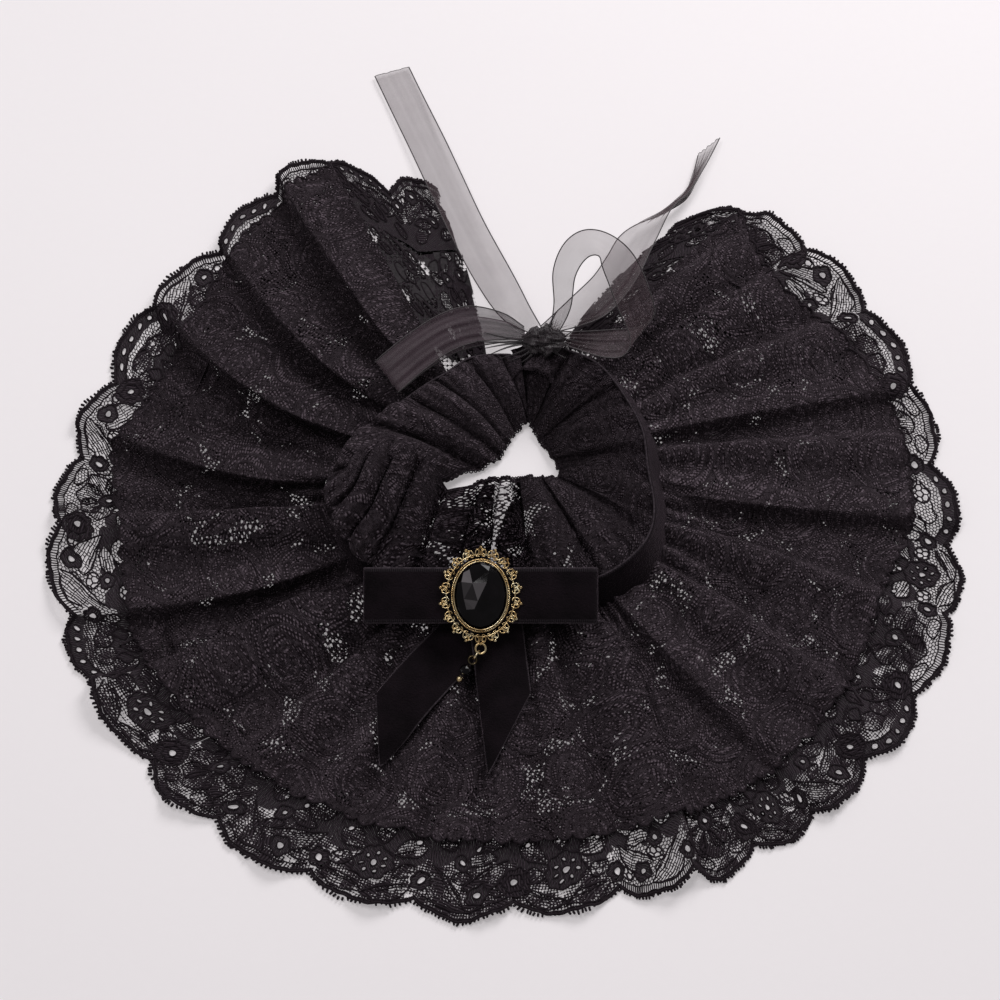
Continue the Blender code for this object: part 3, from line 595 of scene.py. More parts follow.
THREAD = spun("lace_thread", 900.0, 3.0, (0.005, 0.0036, 0.0046), (0.021, 0.016, 0.020), 0.75, 0.0002, 0.6,
              **matte(0.8, 0.08, 0.35), Specular_Tint=MAUVE).material
CORDONNET = spun("lace_cordonnet", 650.0, 4.0, (0.004, 0.003, 0.0038), (0.018, 0.0135, 0.017), 0.75, 0.0004, 0.9,
                 **matte(0.85, 0.06, 0.3), Specular_Tint=MAUVE).material  # the heavier outlines of the motifs
WOVEN = spun("woven_edge", 1100.0, 3.0, (0.020, 0.0155, 0.019), (0.082, 0.066, 0.078), 0.75, 0.0002, 0.8,
             **matte(0.9, 0.05, 0.1)).material  # the velvet's selvedges
EDGE_THREAD = spun("organza_edge", 1300.0, 2.0, (0.020, 0.015, 0.018), (0.070, 0.055, 0.062), 0.7, 0.0001, 0.5,
                   Roughness=0.5, Sheen_Weight=0.3).material
FILL, DENSE, NET, VELVET = fill_material(), dense_lace_material(), under_net_material(), velvet_material()
ORGANZA = organza_material("organza_sheer", 0.50, (0.125, 0.085, 0.098))
ORGANZA_CLOSE = organza_material("organza_doubled", 0.80, (0.076, 0.047, 0.062))
ORGANZA_DARK = organza_material("organza_knot", 0.94, (0.034, 0.025, 0.030))
GOLD, DARK_WIRE = gold_material("antique_gold_worn", 1.0), gold_material("antique_gold_dark", 0.12)
STONE, PAPER = stone_material(), floor_material()


# The lower tier's galloon lace: one drawn repeat per scallop, in mm, x along the hem and y outward from the notches

REPEAT, DEEP = 34.0, 31.0  # from notch to notch, and how far in from the notches the lace is drawn
HALF = REPEAT / 2
LAYERS = ("eyelet", "close", "hatched", "wide", "fine", "ground", "veil")
OUTLINES = {"eyelet": 0.34, "close": 0.46, "hatched": 0.42, "wide": 0.42, "fine": 0.36}  # their cords' radii
NETS = {"wide": (2.5, 0.64), "fine": (1.4, 0.38)}  # pitch, width of a strand
HATCH_PITCH, HATCH_WIDTH, TIE_WIDTH, LADDER_WIDTH = 1.0, 0.44, 0.36, 0.48
FILL_SPACING, VEIN_RADIUS, BORDER_RADIUS = 1.9, 0.30, 0.34
BORDER_OUT, BORDER_IN, FIVE_IN = 1.1, 3.6, 6.0  # the borders' lines, in from the edge
BARE, VEILED, HALF_VEILED = 0, 1, 2  # whether tulle lies behind a repeat's open net
VEIL_INSETS = {VEILED: 1.4, HALF_VEILED: 8.5}  # mm in from the scallop's edge
FRONT = (9, 20)  # first and last column of the front, where most repeats are veiled: real tulle, laid this often also to darken the openings as painted shade under the lace
BACK_ENDS = (4, 26)  # columns beyond these show up to the band, in ROWS rows of repeats
ROWS, BIG_DISC_SHARE = 3, 0.38


def turned(points, heading, x=0.0, y=0.0):
    turn = math.radians(heading)
    spin = np.array(((math.cos(turn), math.sin(turn)), (-math.sin(turn), math.cos(turn))))
    return np.asarray(points, float) @ spin + (x, y)


def disc(x, y, wide, tall=None, heading=0.0, lobes=0, lobe=0.0, count=28):
    turn = 2 * np.pi * np.arange(count) / count
    swell = lobe * np.abs(np.cos(lobes * turn / 2)) if lobes else 0.0
    return turned(np.stack(((wide + swell) * np.cos(turn), ((tall or wide) + swell) * np.sin(turn)), 1), heading, x, y)


def eyelet(x, y, radius, count=12):
    return disc(x, y, radius, count=count)


def petal(x, y, heading, length, width, bend=0.0, blunt=1.0, count=13):
    """A leaf or petal from its base at x, y. A blunt one is rounded at its tip."""
    t = np.linspace(0.0, 1.0, count)
    half = width / 2 * np.sin(np.pi * t**blunt) ** 0.85
    middle = bend * np.sin(np.pi * t)
    upper, lower = np.stack((t * length, middle + half), 1), np.stack((t * length, middle - half), 1)
    return turned(np.concatenate((upper, lower[-2:0:-1])), heading, x, y)


def both(shape):
    return [shape, shape * (-1.0, 1.0)]


def inside(shape, points):
    found = np.zeros(len(points), bool)
    near = np.all((points >= shape.min(0)) & (points <= shape.max(0)), axis=1)
    x, y = points[near, 0][:, None], points[near, 1][:, None]
    (x0, y0), (x1, y1) = shape.T, np.roll(shape, -1, 0).T
    crosses = (y0 > y) != (y1 > y)
    with np.errstate(divide="ignore", invalid="ignore"):
        found[near] = (crosses & (x < (x1 - x0) * (y - y0) / (y1 - y0) + x0)).sum(axis=1) % 2 == 1
    return found


def scallop_edge(x):
    return SCALLOP_BULGE * np.sin(np.pi * np.clip(0.5 + x / REPEAT, 0, 1)) ** 0.8


def border_line(inset, count=35):
    x = np.linspace(-HALF, HALF, count)
    return np.stack((x, scallop_edge(x) - inset), 1)


def border_band(outer, inner):
    return np.concatenate((border_line(outer), border_line(inner)[::-1]))


def inner_ground(top, wave):
    """The close ground of the tier, up to a wavy line below the scallop's own figures."""
    x = np.linspace(-HALF, HALF, 25)
    line = np.stack((x, top + wave * np.cos(x * 0.55) + 0.6 * np.sin(x * 1.3)), 1)
    return np.concatenate((line, ((HALF, -DEEP), (-HALF, -DEEP))))


FIGURES = {
    "inner": {
        "ground": [np.array(((-17, -DEEP - 2), (17, -DEEP - 2), (17, 2.0), (-17, 2.0)))],
        "wide": [disc(-9, -6, 4.6, 3.2, 25), disc(7, -21, 3.6, 5.0, 10), disc(12, -3, 2.6, 3.6)],
        "hatched": [petal(-3, -12, 60, 12, 6.5, 1.0, 1.5), petal(-4, -13, 160, 11, 6.0, 1.0, 1.5),
                    petal(-2, -14, -60, 12, 6.0, -1.0, 1.5), petal(8, -12, 20, 8, 4.5)],
        "fine": [disc(-10, -23, 4.5, 5.5), disc(3, -1, 4.0, 2.2)],
        "close": [disc(-2.5, -13, 3.4, lobes=6, lobe=0.5), disc(9, -9.5, 2.6)],
        "eyelet": [eyelet(-2.5, -13, 1.3, 14), eyelet(9, -9.5, 1.1), eyelet(0, -25, 1.2)],
    },
    "petals": {
        "hatched": [*(petal(0.4, -15.0, heading, length, width, 0.9, 1.6, 17) for heading, length, width in (
            (92, 13.5, 10.5), (138, 14.5, 9.0), (47, 12.5, 8.5), (178, 12.5, 7.5), (4, 14.0, 8.0))),
                    *both(petal(7.0, -21.5, -10, 11.0, 5.5, -0.8))],
        "close": [disc(0.4, -15.4, 3.2, lobes=5, lobe=0.5)],
        "eyelet": [eyelet(0.4, -15.4, 1.2, 14)],
        "wide": [*both(disc(6.4, -19.2, 2.6, 1.9, 20)), disc(1.5, -26.0, 4.6, 2.6, 12)],
        "fine": [disc(-8.2, -1.6, 4.4, 2.4, 20), disc(9.2, -2.2, 4.0, 2.3, -20), disc(-14.2, -9.0, 2.0, 3.4)],
        "ground": [inner_ground(-16.5, 1.2)],
    },
    "five": {
        "close": [border_band(BORDER_OUT, FIVE_IN), disc(-5.5, -13.5, 2.3, lobes=4, lobe=0.4),
                  disc(6.5, -14.0, 2.2, lobes=4, lobe=0.4)],
        "eyelet": [disc(x, scallop_edge(x) - 3.6, 1.3, 1.1, count=14) for x in (-10.8, -5.6, 0.0, 5.6, 10.8)],
        "fine": [disc(-3.4, -7.0, 5.0, 3.4, 15, 3, 0.7, 32), *both(disc(14.5, -13.0, 2.2, 3.2)),
                 disc(-8.5, -11.5, 3.4, 2.3, 30)],
        "wide": [disc(4.8, -7.6, 4.4, 3.0, -20, 3, 0.6, 32), disc(-11.0, -22.0, 3.0, 4.4, 30),
                 disc(8.5, -22.5, 4.2, 3.0, 20)],
        "hatched": [petal(-13.5, -7.5, -52, 13.0, 6.4, 1.0), petal(13.5, -7.0, -126, 14.0, 6.8, -1.0),
                    petal(0.5, -12.2, -100, 10.0, 6.4, 0.6, 1.4)],
        "ground": [inner_ground(-9.5, 1.0)],
    },
    "flower": {
        "close": [disc(0, -9.8, 6.2, lobes=8, lobe=1.0, count=56)],
        "eyelet": [eyelet(0, -9.8, 1.35, 14),
                   *(disc(*turned((3.9, 0), a, 0, -9.8), 0.9, 0.75, a, count=11) for a in range(20, 380, 51)),
                   *both(eyelet(13.0, -20.5, 1.1))],
        "hatched": [petal(-15.0, -4.2, 24, 17.0, 5.6, 1.4), petal(14.8, -4.4, 157, 16.5, 5.4, -1.4),
                    petal(-5.0, -14.0, 205, 12.5, 7.0, 0.8, 1.3), petal(5.2, -14.0, -28, 12.0, 7.4, -0.8, 1.3)],
        "wide": [disc(-11.3, -9.0, 3.6, 2.8, 30), disc(11.0, -9.2, 3.3, 3.0),
                 petal(-0.5, -17.5, -84, 10.5, 7.0, 0.0, 0.8)],
        "fine": [disc(-6.6, -0.4, 4.4, 2.1, 25), disc(7.2, -0.8, 3.9, 2.0, -25)],
        "ground": [inner_ground(-12.0, 1.2)],
    },
    "leaf": {
        "hatched": [petal(-14.5, -13.5, 46, 22.0, 8.6, 2.6, 1.1), petal(14.0, -15.5, 148, 18.0, 8.0, -2.4, 1.2),
                    petal(-3.0, -15.0, -4, 13.0, 5.6, -1.0, 1.2)],
        "close": [disc(4.6, -3.4, 3.2, lobes=5, lobe=0.7), disc(-3.5, -14.8, 2.7, lobes=5, lobe=0.5)],
        "eyelet": [eyelet(4.6, -3.4, 1.3, 14), eyelet(-3.5, -14.8, 1.1), eyelet(2.5, -20.5, 1.0)],
        "wide": [disc(11.8, -4.6, 3.0, 2.4, -25), disc(-3.0, -9.6, 3.3, 2.3, -20), disc(-9.5, -21.5, 4.0, 2.8, 15)],
        "fine": [disc(-5.5, -3.6, 5.0, 2.6, 25), disc(8.6, -9.6, 2.9, 3.8, 30), disc(8.5, -22.0, 4.8, 3.4, -15)],
        "ground": [inner_ground(-14.0, 1.6)],
    },
}
KINDS = ("petals", "five", "flower", "leaf")
NOTCH_DISC = disc(0, -6.6, 3.1, lobes=6, lobe=0.6, count=36)
NOTCH_EYELET = eyelet(0, -6.6, 1.5, 14)
BIG_DISC = disc(0, -6.6, 5.2, lobes=9, lobe=0.7, count=54)
BORDER_POINTS = 60  # a shape with more points than this is a border, which has its own lines


def motifs(kind, veiled):
    """Shapes of a repeat by layer. An earlier layer covers a later one, and open net is left where none lies."""
    found = {layer: [] for layer in LAYERS}
    if veiled:
        found["veil"].append(border_band(VEIL_INSETS[veiled] + 0.1, 40.0))
    if kind != "inner":
        found["close"].append(border_band(0.0, BORDER_OUT))
    if kind in ("petals", "leaf"):
        found["hatched"].append(border_band(BORDER_OUT + 0.1, BORDER_IN))
    for layer, shapes in FIGURES[kind].items():
        found[layer] += shapes
    return found


def layer_at(shapes, points):
    """Number of the layer that shows at each point of a repeat, with -1 where the notches' discs are."""
    found = np.full(len(points), LAYERS.index("fine"))
    for number in reversed(range(len(LAYERS))):
        for shape in shapes[LAYERS[number]]:
            found[inside(shape, points)] = number
    for way in (-1, 1):
        found[inside(NOTCH_DISC + (way * HALF, 0), points)] = -1
    return found


def hex_strands(pitch, low, high):
    """Start and end of every strand of a hexagonal net."""
    side = pitch / math.sqrt(3)
    columns = np.arange(math.floor(low[0] / pitch) - 1, math.ceil(high[0] / pitch) + 2)
    rows = np.arange(math.floor(low[1] / (1.5 * side)) - 1, math.ceil(high[1] / (1.5 * side)) + 2)
    column, row = (grid.ravel() for grid in np.meshgrid(columns, rows))
    foot = np.stack(((column + 0.5 * (row % 2)) * pitch, row * 1.5 * side), 1)
    top = foot + (0, side)
    arms = [(foot, top), *((top, top + (way * pitch / 2, side / 2)) for way in (-1, 1))]
    return [np.concatenate(ends) for ends in zip(*arms)]


def far_end(shape):
    return shape[np.argmax(np.hypot(*(shape - shape[0]).T))]


def hatch_lines(shape):
    """Parallel threads along a petal, cut into short lengths."""
    span = far_end(shape) - shape[0]
    heading = math.degrees(math.atan2(span[1], span[0]))
    flat = turned(shape, -heading)
    starts, ends = [], []
    for y in np.arange(flat[:, 1].min() + HATCH_PITCH / 2, flat[:, 1].max(), HATCH_PITCH):
        a, b = flat, np.roll(flat, -1, 0)
        cross = (a[:, 1] > y) != (b[:, 1] > y)
        xs = np.sort((b[:, 0] - a[:, 0])[cross] * (y - a[cross, 1]) / (b[cross, 1] - a[cross, 1]) + a[cross, 0])
        for x0, x1 in zip(xs[::2], xs[1::2]):
            steps = np.linspace(x0, x1, max(2, int((x1 - x0) / 2.2) + 2))
            line = turned(np.stack((steps, np.full(len(steps), y)), 1), heading)
            starts.append(line[:-1])
            ends.append(line[1:])
    return np.concatenate(starts), np.concatenate(ends)


def fill_in(shapes, spacing, keep):
    """Triangles over shapes, with their outlines as edges, kept where keep says so of their middles."""
    corners, edges, start = [], [], 0
    for shape in shapes:
        edges += [(start + k, start + (k + 1) % len(shape)) for k in range(len(shape))]
        corners.append(shape)
        start += len(shape)
    every = np.concatenate(corners)
    low, high = every.min(0), every.max(0)
    lattice = np.meshgrid(np.arange(low[0], high[0], spacing), np.arange(low[1], high[1], spacing * 0.87))
    lattice = np.stack(lattice, -1).reshape(-1, 2)
    corners.append(lattice[keep(lattice)])
    made = geometry.delaunay_2d_cdt([Vector(point) for point in np.concatenate(corners)], edges, [], 0, 1e-4)
    points, faces = np.array([tuple(v) for v in made[0]]), np.array([f for f in made[2] if len(f) == 3])
    return points, faces[keep(points[faces].mean(axis=1))]


def fill_round(shape, spacing):
    """A notch's disc around its eyelet."""
    return fill_in([shape, NOTCH_EYELET], spacing, lambda p: inside(shape, p) & ~inside(NOTCH_EYELET, p))


def draw_repeat(kind, veiled):
    """One repeat, worked out once: fill triangles, strands with their widths, and outlines with their radii."""
    shapes = motifs(kind, veiled)
    low, high = np.array((-HALF, -DEEP)), np.array((HALF, SCALLOP_BULGE + 0.5))

    def on_cloth(points):
        reach = 2.0 if kind == "inner" else scallop_edge(points[:, 0]) - 0.1
        return (points[:, 1] < reach) & (points >= low - 0.01).all(1) & (points[:, 0] <= high[0] + 0.01)

    def shows(points, *layers):
        return np.isin(layer_at(shapes, points), [LAYERS.index(layer) for layer in layers])

    def veils(points):
        layers = ("veil",) if kind == "inner" else ("hatched", "wide", "fine", "veil")
        within = (kind == "inner") | (points[:, 1] < scallop_edge(points[:, 0]) - VEIL_INSETS[veiled])
        return shows(points, *layers) & on_cloth(points) & within

    every = [shape for layer in LAYERS for shape in shapes[layer]]
    every += [NOTCH_DISC + (way * HALF, 0) for way in (-1, 1)]
    every = [np.clip(shape, (low[0], -99), (high[0], 99)) for shape in every]
    fills = [(0.0, *fill_in(every, FILL_SPACING, lambda p: shows(p, "close", "ground") & on_cloth(p)))]
    if veiled:
        fills.append((float(veiled), *fill_in(every, FILL_SPACING, veils)))

    strands, outlines = [], []
    for layer, (pitch, width) in NETS.items():
        a, b = hex_strands(pitch, low, high)
        keep = on_cloth((a + b) / 2) & shows((a + b) / 2, layer)
        strands.append((a[keep], b[keep], width))
    for shape in shapes["hatched"]:
        if len(shape) > BORDER_POINTS:
            foot = np.arange(-HALF, HALF, 0.92)
            a, b = (np.stack((foot * slim, scallop_edge(foot) - inset), 1)
                    for slim, inset in ((1.0, BORDER_OUT - 0.1), (0.97, BORDER_IN + 0.1)))
            keep = shows((a + b) / 2, "hatched")
            strands.append((a[keep], b[keep], LADDER_WIDTH))
            line = border_line(BORDER_IN + 0.1)[2:-2]
            outlines.append((line, BORDER_RADIUS, layer_at(shapes, line) > LAYERS.index("close")))
            continue
        a, b = hatch_lines(shape)
        keep = on_cloth((a + b) / 2) & shows((a + b) / 2, "hatched")
        strands.append((a[keep], b[keep], HATCH_WIDTH))
        way = (b - a)[:, ::-1] * (-1.0, 1.0)
        way /= np.maximum(np.linalg.norm(way, axis=1, keepdims=True), 1e-6)
        foot = lerp(a, b, np.where(np.arange(len(a)) % 2, 0.25, 0.7)[:, None])
        keep = on_cloth(foot + way) & shows(foot + way * 0.8, "hatched") & keep
        strands.append((foot[keep], (foot + way)[keep], TIE_WIDTH))
        vein = lerp(shape[0], far_end(shape), np.linspace(0.08, 0.66, 7)[:, None])
        outlines.append((vein, VEIN_RADIUS, shows(vein, "hatched")))
    for layer, radius in OUTLINES.items():
        for shape in shapes[layer]:
            if len(shape) <= BORDER_POINTS:
                closed = np.concatenate((shape, shape[:1]))
                shown = layer_at(shapes, closed) >= LAYERS.index(layer)
                outlines.append((closed, radius, shown & (np.abs(closed[:, 0]) < HALF)))
    if kind != "inner":
        for inset, radius in ((0.25, 0.62), (1.15, 0.36)):
            line = border_line(inset)
            outlines.append((line, radius, np.ones(len(line), bool)))
    if kind == "five":
        line = border_line(FIVE_IN)[3:-3]
        outlines.append((line, 0.42, layer_at(shapes, line) > LAYERS.index("wide")))
    return fills, strands, outlines


def picots(draw):
    """Small stubby teeth along a scallop's edge, from notch to notch, no two quite alike."""
    found = []
    for x in np.arange(-HALF + 0.8, HALF - 0.4, 1.30):
        tall, lean, at = draw.uniform(0.70, 1.35), draw.uniform(-0.4, 0.4), x + draw.uniform(-0.2, 0.2)
        tooth = np.array(((0.0, -0.4), (lean * 0.3, tall * 0.35), (lean * 0.8, tall * 0.8), (lean, tall)))
        slope = math.degrees(math.atan2(scallop_edge(at + 0.3) - scallop_edge(at - 0.3), 0.6))
        found.append(turned(tooth, slope, at, scallop_edge(np.array(at))))
    return found


def hem_address(points, spot):
    """Place and share on the cape of a repeat's points, drawn a little differently at each spot."""
    column, flip, row = spot
    x, y = points[..., 0], points[..., 1]
    loose = 1.0 - np.clip(np.abs(x) / HALF, 0, 1) ** 4
    drawn_at = column * 2.7 + row * 1.3
    x = x + loose * (0.55 * np.sin(y * 0.42 + drawn_at) + 0.22 * np.sin(y * 1.1 + x * 0.7 + drawn_at * 2))
    y = y + loose * (0.50 * np.sin(x * 0.36 + drawn_at * 1.7) + 0.20 * np.sin(x * 1.2 - y * 0.6 + drawn_at))
    if row == 0:
        swell = np.cos(np.pi * np.clip(x / REPEAT, -0.5, 0.5)) ** 2 * np.clip((y + 12) / 12, 0, 1)
        y = y + swell * (0.9 * np.sin(column * 4.1 + 1.0) - 0.2)
    place = column + 0.5 + x * flip / REPEAT
    _, _, inner, outer = cape_line(place)
    return place, 1.0 + (y - row * DEEP) / (outer - inner)


def lay_hem_lace():
    """The visible zone of the lower tier, as threads, fill and cords, placed by column, facing and row."""
    drawn = {(kind, veiled): draw_repeat(kind, veiled) for kind in KINDS for veiled in (BARE, VEILED, HALF_VEILED)}
    drawn["inner", VEILED] = draw_repeat("inner", VEILED)
    disc_fill, big_fill = fill_round(NOTCH_DISC, 1.6), fill_round(BIG_DISC, FILL_SPACING)
    draw, half_draw = np.random.default_rng(17), np.random.default_rng(18)
    strands, cords = Cords(), Cords()
    fill_points, fill_faces, fill_uv, grain, veils = [], [], [], [], []

    def lay(points, spot, lift):
        place, s = hem_address(points, spot)
        return lower_point(place, np.maximum(s, 0.0), lift)

    def on_tier(points, spot):
        place, s = hem_address(points, spot)
        return (s > 0.01) & (place > 0.02) & (place < SCALLOPS - 0.02)

    def add_fill(points, faces, spot, veil=0.0, lift=0.0):
        column, flip, row = spot
        faces = faces[on_tier(points, spot)[faces].all(axis=1)][:, ::flip]
        fill_faces.append(faces + sum(len(p) for p in fill_points))
        fill_points.append(lay(points, spot, lift))
        veils.append(np.full(len(points), min(veil, 1.0)))
        fill_uv.append(points * FLAT + (column * 0.34, row * 0.4))
        grain.append(np.full(len(points), (half_draw if veil > 1 else draw).uniform(0, 1)))

    def add_cord(line, radius, shown, spot):
        for start, end in runs(shown & on_tier(line, spot)):
            cords.add(lay(line[start:end], spot, 0.12), radius)

    last_kind = 0
    for column in range(SCALLOPS):
        last_kind = (last_kind + int(draw.integers(1, len(KINDS)))) % len(KINDS)
        veiled = VEILED if draw.random() < (0.85 if FRONT[0] <= column <= FRONT[1] else 0.04) else BARE
        if veiled == BARE and half_draw.random() < (0.62 if column < FRONT[0] else 0.30):
            veiled = HALF_VEILED
        for row in range(ROWS if column < BACK_ENDS[0] or column > BACK_ENDS[1] else 1):
            spot = (column, int(draw.choice((-1, 1))), row)
            fills, threads, outlines = drawn[("inner", VEILED) if row else (KINDS[last_kind], veiled)]
            for veil, points, faces in fills:
                add_fill(points, faces, spot, veil)
            for a, b, width in threads:
                keep = on_tier(a, spot) & on_tier(b, spot)
                if keep.any():
                    uneven = width * draw.uniform(0.78, 1.22, (int(keep.sum()), 1))
                    strands.strands(lay(a[keep], spot, -0.05), lay(b[keep], spot, -0.05), uneven)
            for line, radius, shown in outlines:
                add_cord(line, radius, shown, spot)
        for tooth in picots(draw):
            add_cord(tooth, np.array((0.56, 0.60, 0.54, 0.32)), np.ones(len(tooth), bool), (column, 1, 0))
        if column:
            notch = (column - 0.5, 1, 0)
            add_fill(*disc_fill, notch)
            rims = [(NOTCH_DISC, 0.5), (NOTCH_EYELET, 0.4)]
            if draw.random() < BIG_DISC_SHARE:
                add_fill(*big_fill, notch, 0.0, 0.12)
                rims.append((BIG_DISC, 0.45))
            for shape, radius in rims:
                line = np.concatenate((shape, shape[:1]))
                add_cord(line, radius, np.ones(len(line), bool), notch)
    fill = add_mesh("lower_tier_fill", np.concatenate(fill_points), np.concatenate(fill_faces), FILL,
                    uv=np.concatenate(fill_uv), values={"grain": np.concatenate(grain), "veil": np.concatenate(veils)},
                    slot="lace")
    net = strands.piece("lower_tier_net", THREAD, slot="lace")
    return fill, net, cords.piece("lower_tier_cords", CORDONNET, slot="lace")


# Under the upper tier the lower one is a plain shell of net, and its back ends show

UNDER_BAND = -0.035  # share by which both tiers run on under the neckband's edge, to their seam


def lay_lower_shell():
    places = np.linspace(0.0, SCALLOPS, 12 * SCALLOPS + 1)
    _, _, inner, outer = cape_line(places)
    s = lerp(UNDER_BAND, 1.0 - (DEEP - 1.0) / (outer - inner), np.linspace(0.0, 1.0, 44)[:, None])
    points = lower_point(places, s)
    points[..., 2] += 0.3 * ripple(places, s, 4.0, 21)
    return add_shell("lower_tier_ground", points, NET, flat=(points[..., 0], points[..., 1]), slot="lace")


# The upper tier's rose lace

ROSE_PITCH, ROSE_RINGS, ROSE_STRAY, ROSE_FIELD = 25.0, 4, 3.5, (30, 178)
RING_STEPS, RING_RADII = (0, 12, 26, 38, 50), (0.0, 0.22, 0.28, 0.34, 0.38)
LEAF_FOOT, LEAF_LENGTH, LEAF_WIDTH, LEAF_RADIUS = 11.2, 8.5, 5.0, 0.32
HEM_STARTS = 0.93  # share down the tier from which its rows run on to the small scallops


def rose_bed():
    """Middle, turn and size of each rose, in plan."""
    draw = np.random.default_rng(31)
    rows = []
    for row in range(-8, 9):
        for column in range(-8, 9):
            x = (column + 0.5 * (row % 2)) * ROSE_PITCH + draw.uniform(-ROSE_STRAY, ROSE_STRAY)
            y = row * ROSE_PITCH * 0.866 + draw.uniform(-ROSE_STRAY, ROSE_STRAY)
            turn, size = draw.uniform(0, 360), draw.uniform(0.82, 1.12)
            if ROSE_FIELD[0] < math.hypot(x, y) < ROSE_FIELD[1]:
                rows.append((x, y, turn, size))
    return np.array(rows)


ROSES = rose_bed()


def petals_out(rose, radius, turn):
    """How many rings of petals lie inside of points about a rose's middle, and the number of each one's petal."""
    swirl = PETALS_AROUND * turn + PETAL_SWIRL * radius + rose * 1.7
    lobes = np.abs(np.sin(swirl)) ** LOBE_ROUND
    out = radius * (1.0 + ROSE_SWELL * np.sin(turn + rose * 1.7)) - PETAL_LOBE * (lobes - LOBE_LEVEL)
    return out / PETAL_RING, np.floor(swirl / np.pi) % 5


def rose_rims(rose, ring, turn):
    """Radius of a ring of petals at angles about the rose's middle."""
    radius = np.full(len(turn), ring * PETAL_RING)
    for _ in range(12):
        radius = radius + 0.6 * (ring - petals_out(rose, radius, turn)[0]) * PETAL_RING
    return ROSES[rose, 3] * radius


def rose_cloth(x, y):
    """Relief in mm of the rose lace at points of the plan, and the values that its material reads."""
    shape = np.shape(x)
    x, y = np.ravel(x), np.ravel(y)
    rose = (np.hypot(x[:, None] - ROSES[:, 0], y[:, None] - ROSES[:, 1]) / ROSES[:, 3]).argmin(axis=1)
    dx, dy = (x - ROSES[rose, 0]) / ROSES[rose, 3], (y - ROSES[rose, 1]) / ROSES[rose, 3]
    radius, turn = np.hypot(dx, dy), np.arctan2(dy, dx)
    out, petal_number = petals_out(rose, radius, turn)
    ring = np.clip(np.floor(out), 0, ROSE_RINGS)
    rim = bell(np.abs(out - np.round(out)) * PETAL_RING, 0.0, 0.9)
    mark = rose * 7.31 + ring * 3.17 + petal_number * 1.93
    random = (np.sin(mark * 12.9898) * 43758.5453) % 1.0
    outside = ring == ROSE_RINGS
    tone = np.where(outside, 0.36 + 0.25 * random, 0.46 + 0.40 * random - 0.25 * rim)
    middle = (np.pi * (petal_number + 0.5) - PETAL_SWIRL * PETAL_RING * (ring + 0.5) - rose * 1.7) / PETALS_AROUND
    grain = (middle / (2 * np.pi) + 0.25 + (random - 0.5) * 0.2) % 1.0
    patch = np.sin(x * 0.21 + 1.3 * np.sin(y * 0.11)) * np.sin(y * 0.19 + 1.1 * np.sin(x * 0.09))
    net = np.where(outside, np.clip(0.62 + 0.75 * patch, 0, 1), np.where((ring > 1) & (random > 0.80), 0.66, 0.0))
    relief = np.where(outside, 0.1, 0.55) * (1.0 - rim)
    surface_values = {"tone": tone, "grain": grain, "net": net}
    return relief.reshape(shape), {"bloom": np.stack((dx, dy, rose * 1.7), axis=-1), "ladder": np.zeros(shape),
                                   **{label: numbers.reshape(shape) for label, numbers in surface_values.items()}}


def hollows(points, reach):
    """How deep each point of a grid lies between the folds beside it, from 0 to 1, which sets the painted shade in the
    folds' valleys.
    """
    z = points[..., 2]
    padded = np.concatenate((z[:, :1].repeat(reach, 1), z, z[:, -1:].repeat(reach, 1)), axis=1)
    total = np.cumsum(np.concatenate((np.zeros((len(z), 1)), padded), axis=1), axis=1)
    mean = (total[:, 2 * reach + 1:] - total[:, :-2 * reach - 1]) / (2 * reach + 1)
    return np.clip((mean - z + 0.15) / 1.5, 0.0, 1.0)


def upper_edge(place):
    """Share of the small cloud-like scallops beyond the upper tier's hem."""
    across = place * 9.4 + 0.9 * np.sin(place * 2.1) + 0.5 * np.sin(place * 5.3)
    uneven = 2.2 + 0.8 * np.sin(place * 7.7)
    long = uneven * np.abs(np.sin(np.pi * across / 2)) ** 0.6 + 0.4 * np.abs(np.sin(np.pi * across * 1.5)) ** 0.7
    _, _, inner, outer = cape_line(place)
    return long / (outer - inner)


def cape_plan(place, s):
    """Flat places on the cape's cone, without its folds."""
    neck_angle, hem_angle, inner, outer = cape_line(place)
    turn, radius = np.radians(lerp(neck_angle, hem_angle, s)), lerp(inner, outer, s)
    return radius * np.cos(turn), radius * np.sin(turn)


def lay_line(cords, x, y, radius, drawn):
    """A cord along a line of the plan, where it lies on the upper tier."""
    place, s = cape_address(x, y)
    shown = drawn & (place > UPPER_FIRST + 0.03) & (place < UPPER_LAST - 0.03)
    for start, end in runs(shown & (s > 0.02) & (s < upper_hem_share(place) - 0.004)):
        sunk = -0.40 + 0.10 * np.sin(place[start:end] * 67.0 + s[start:end] * 41.0)
        cords.add(upper_point(place[start:end], s[start:end], sunk), radius, 3)


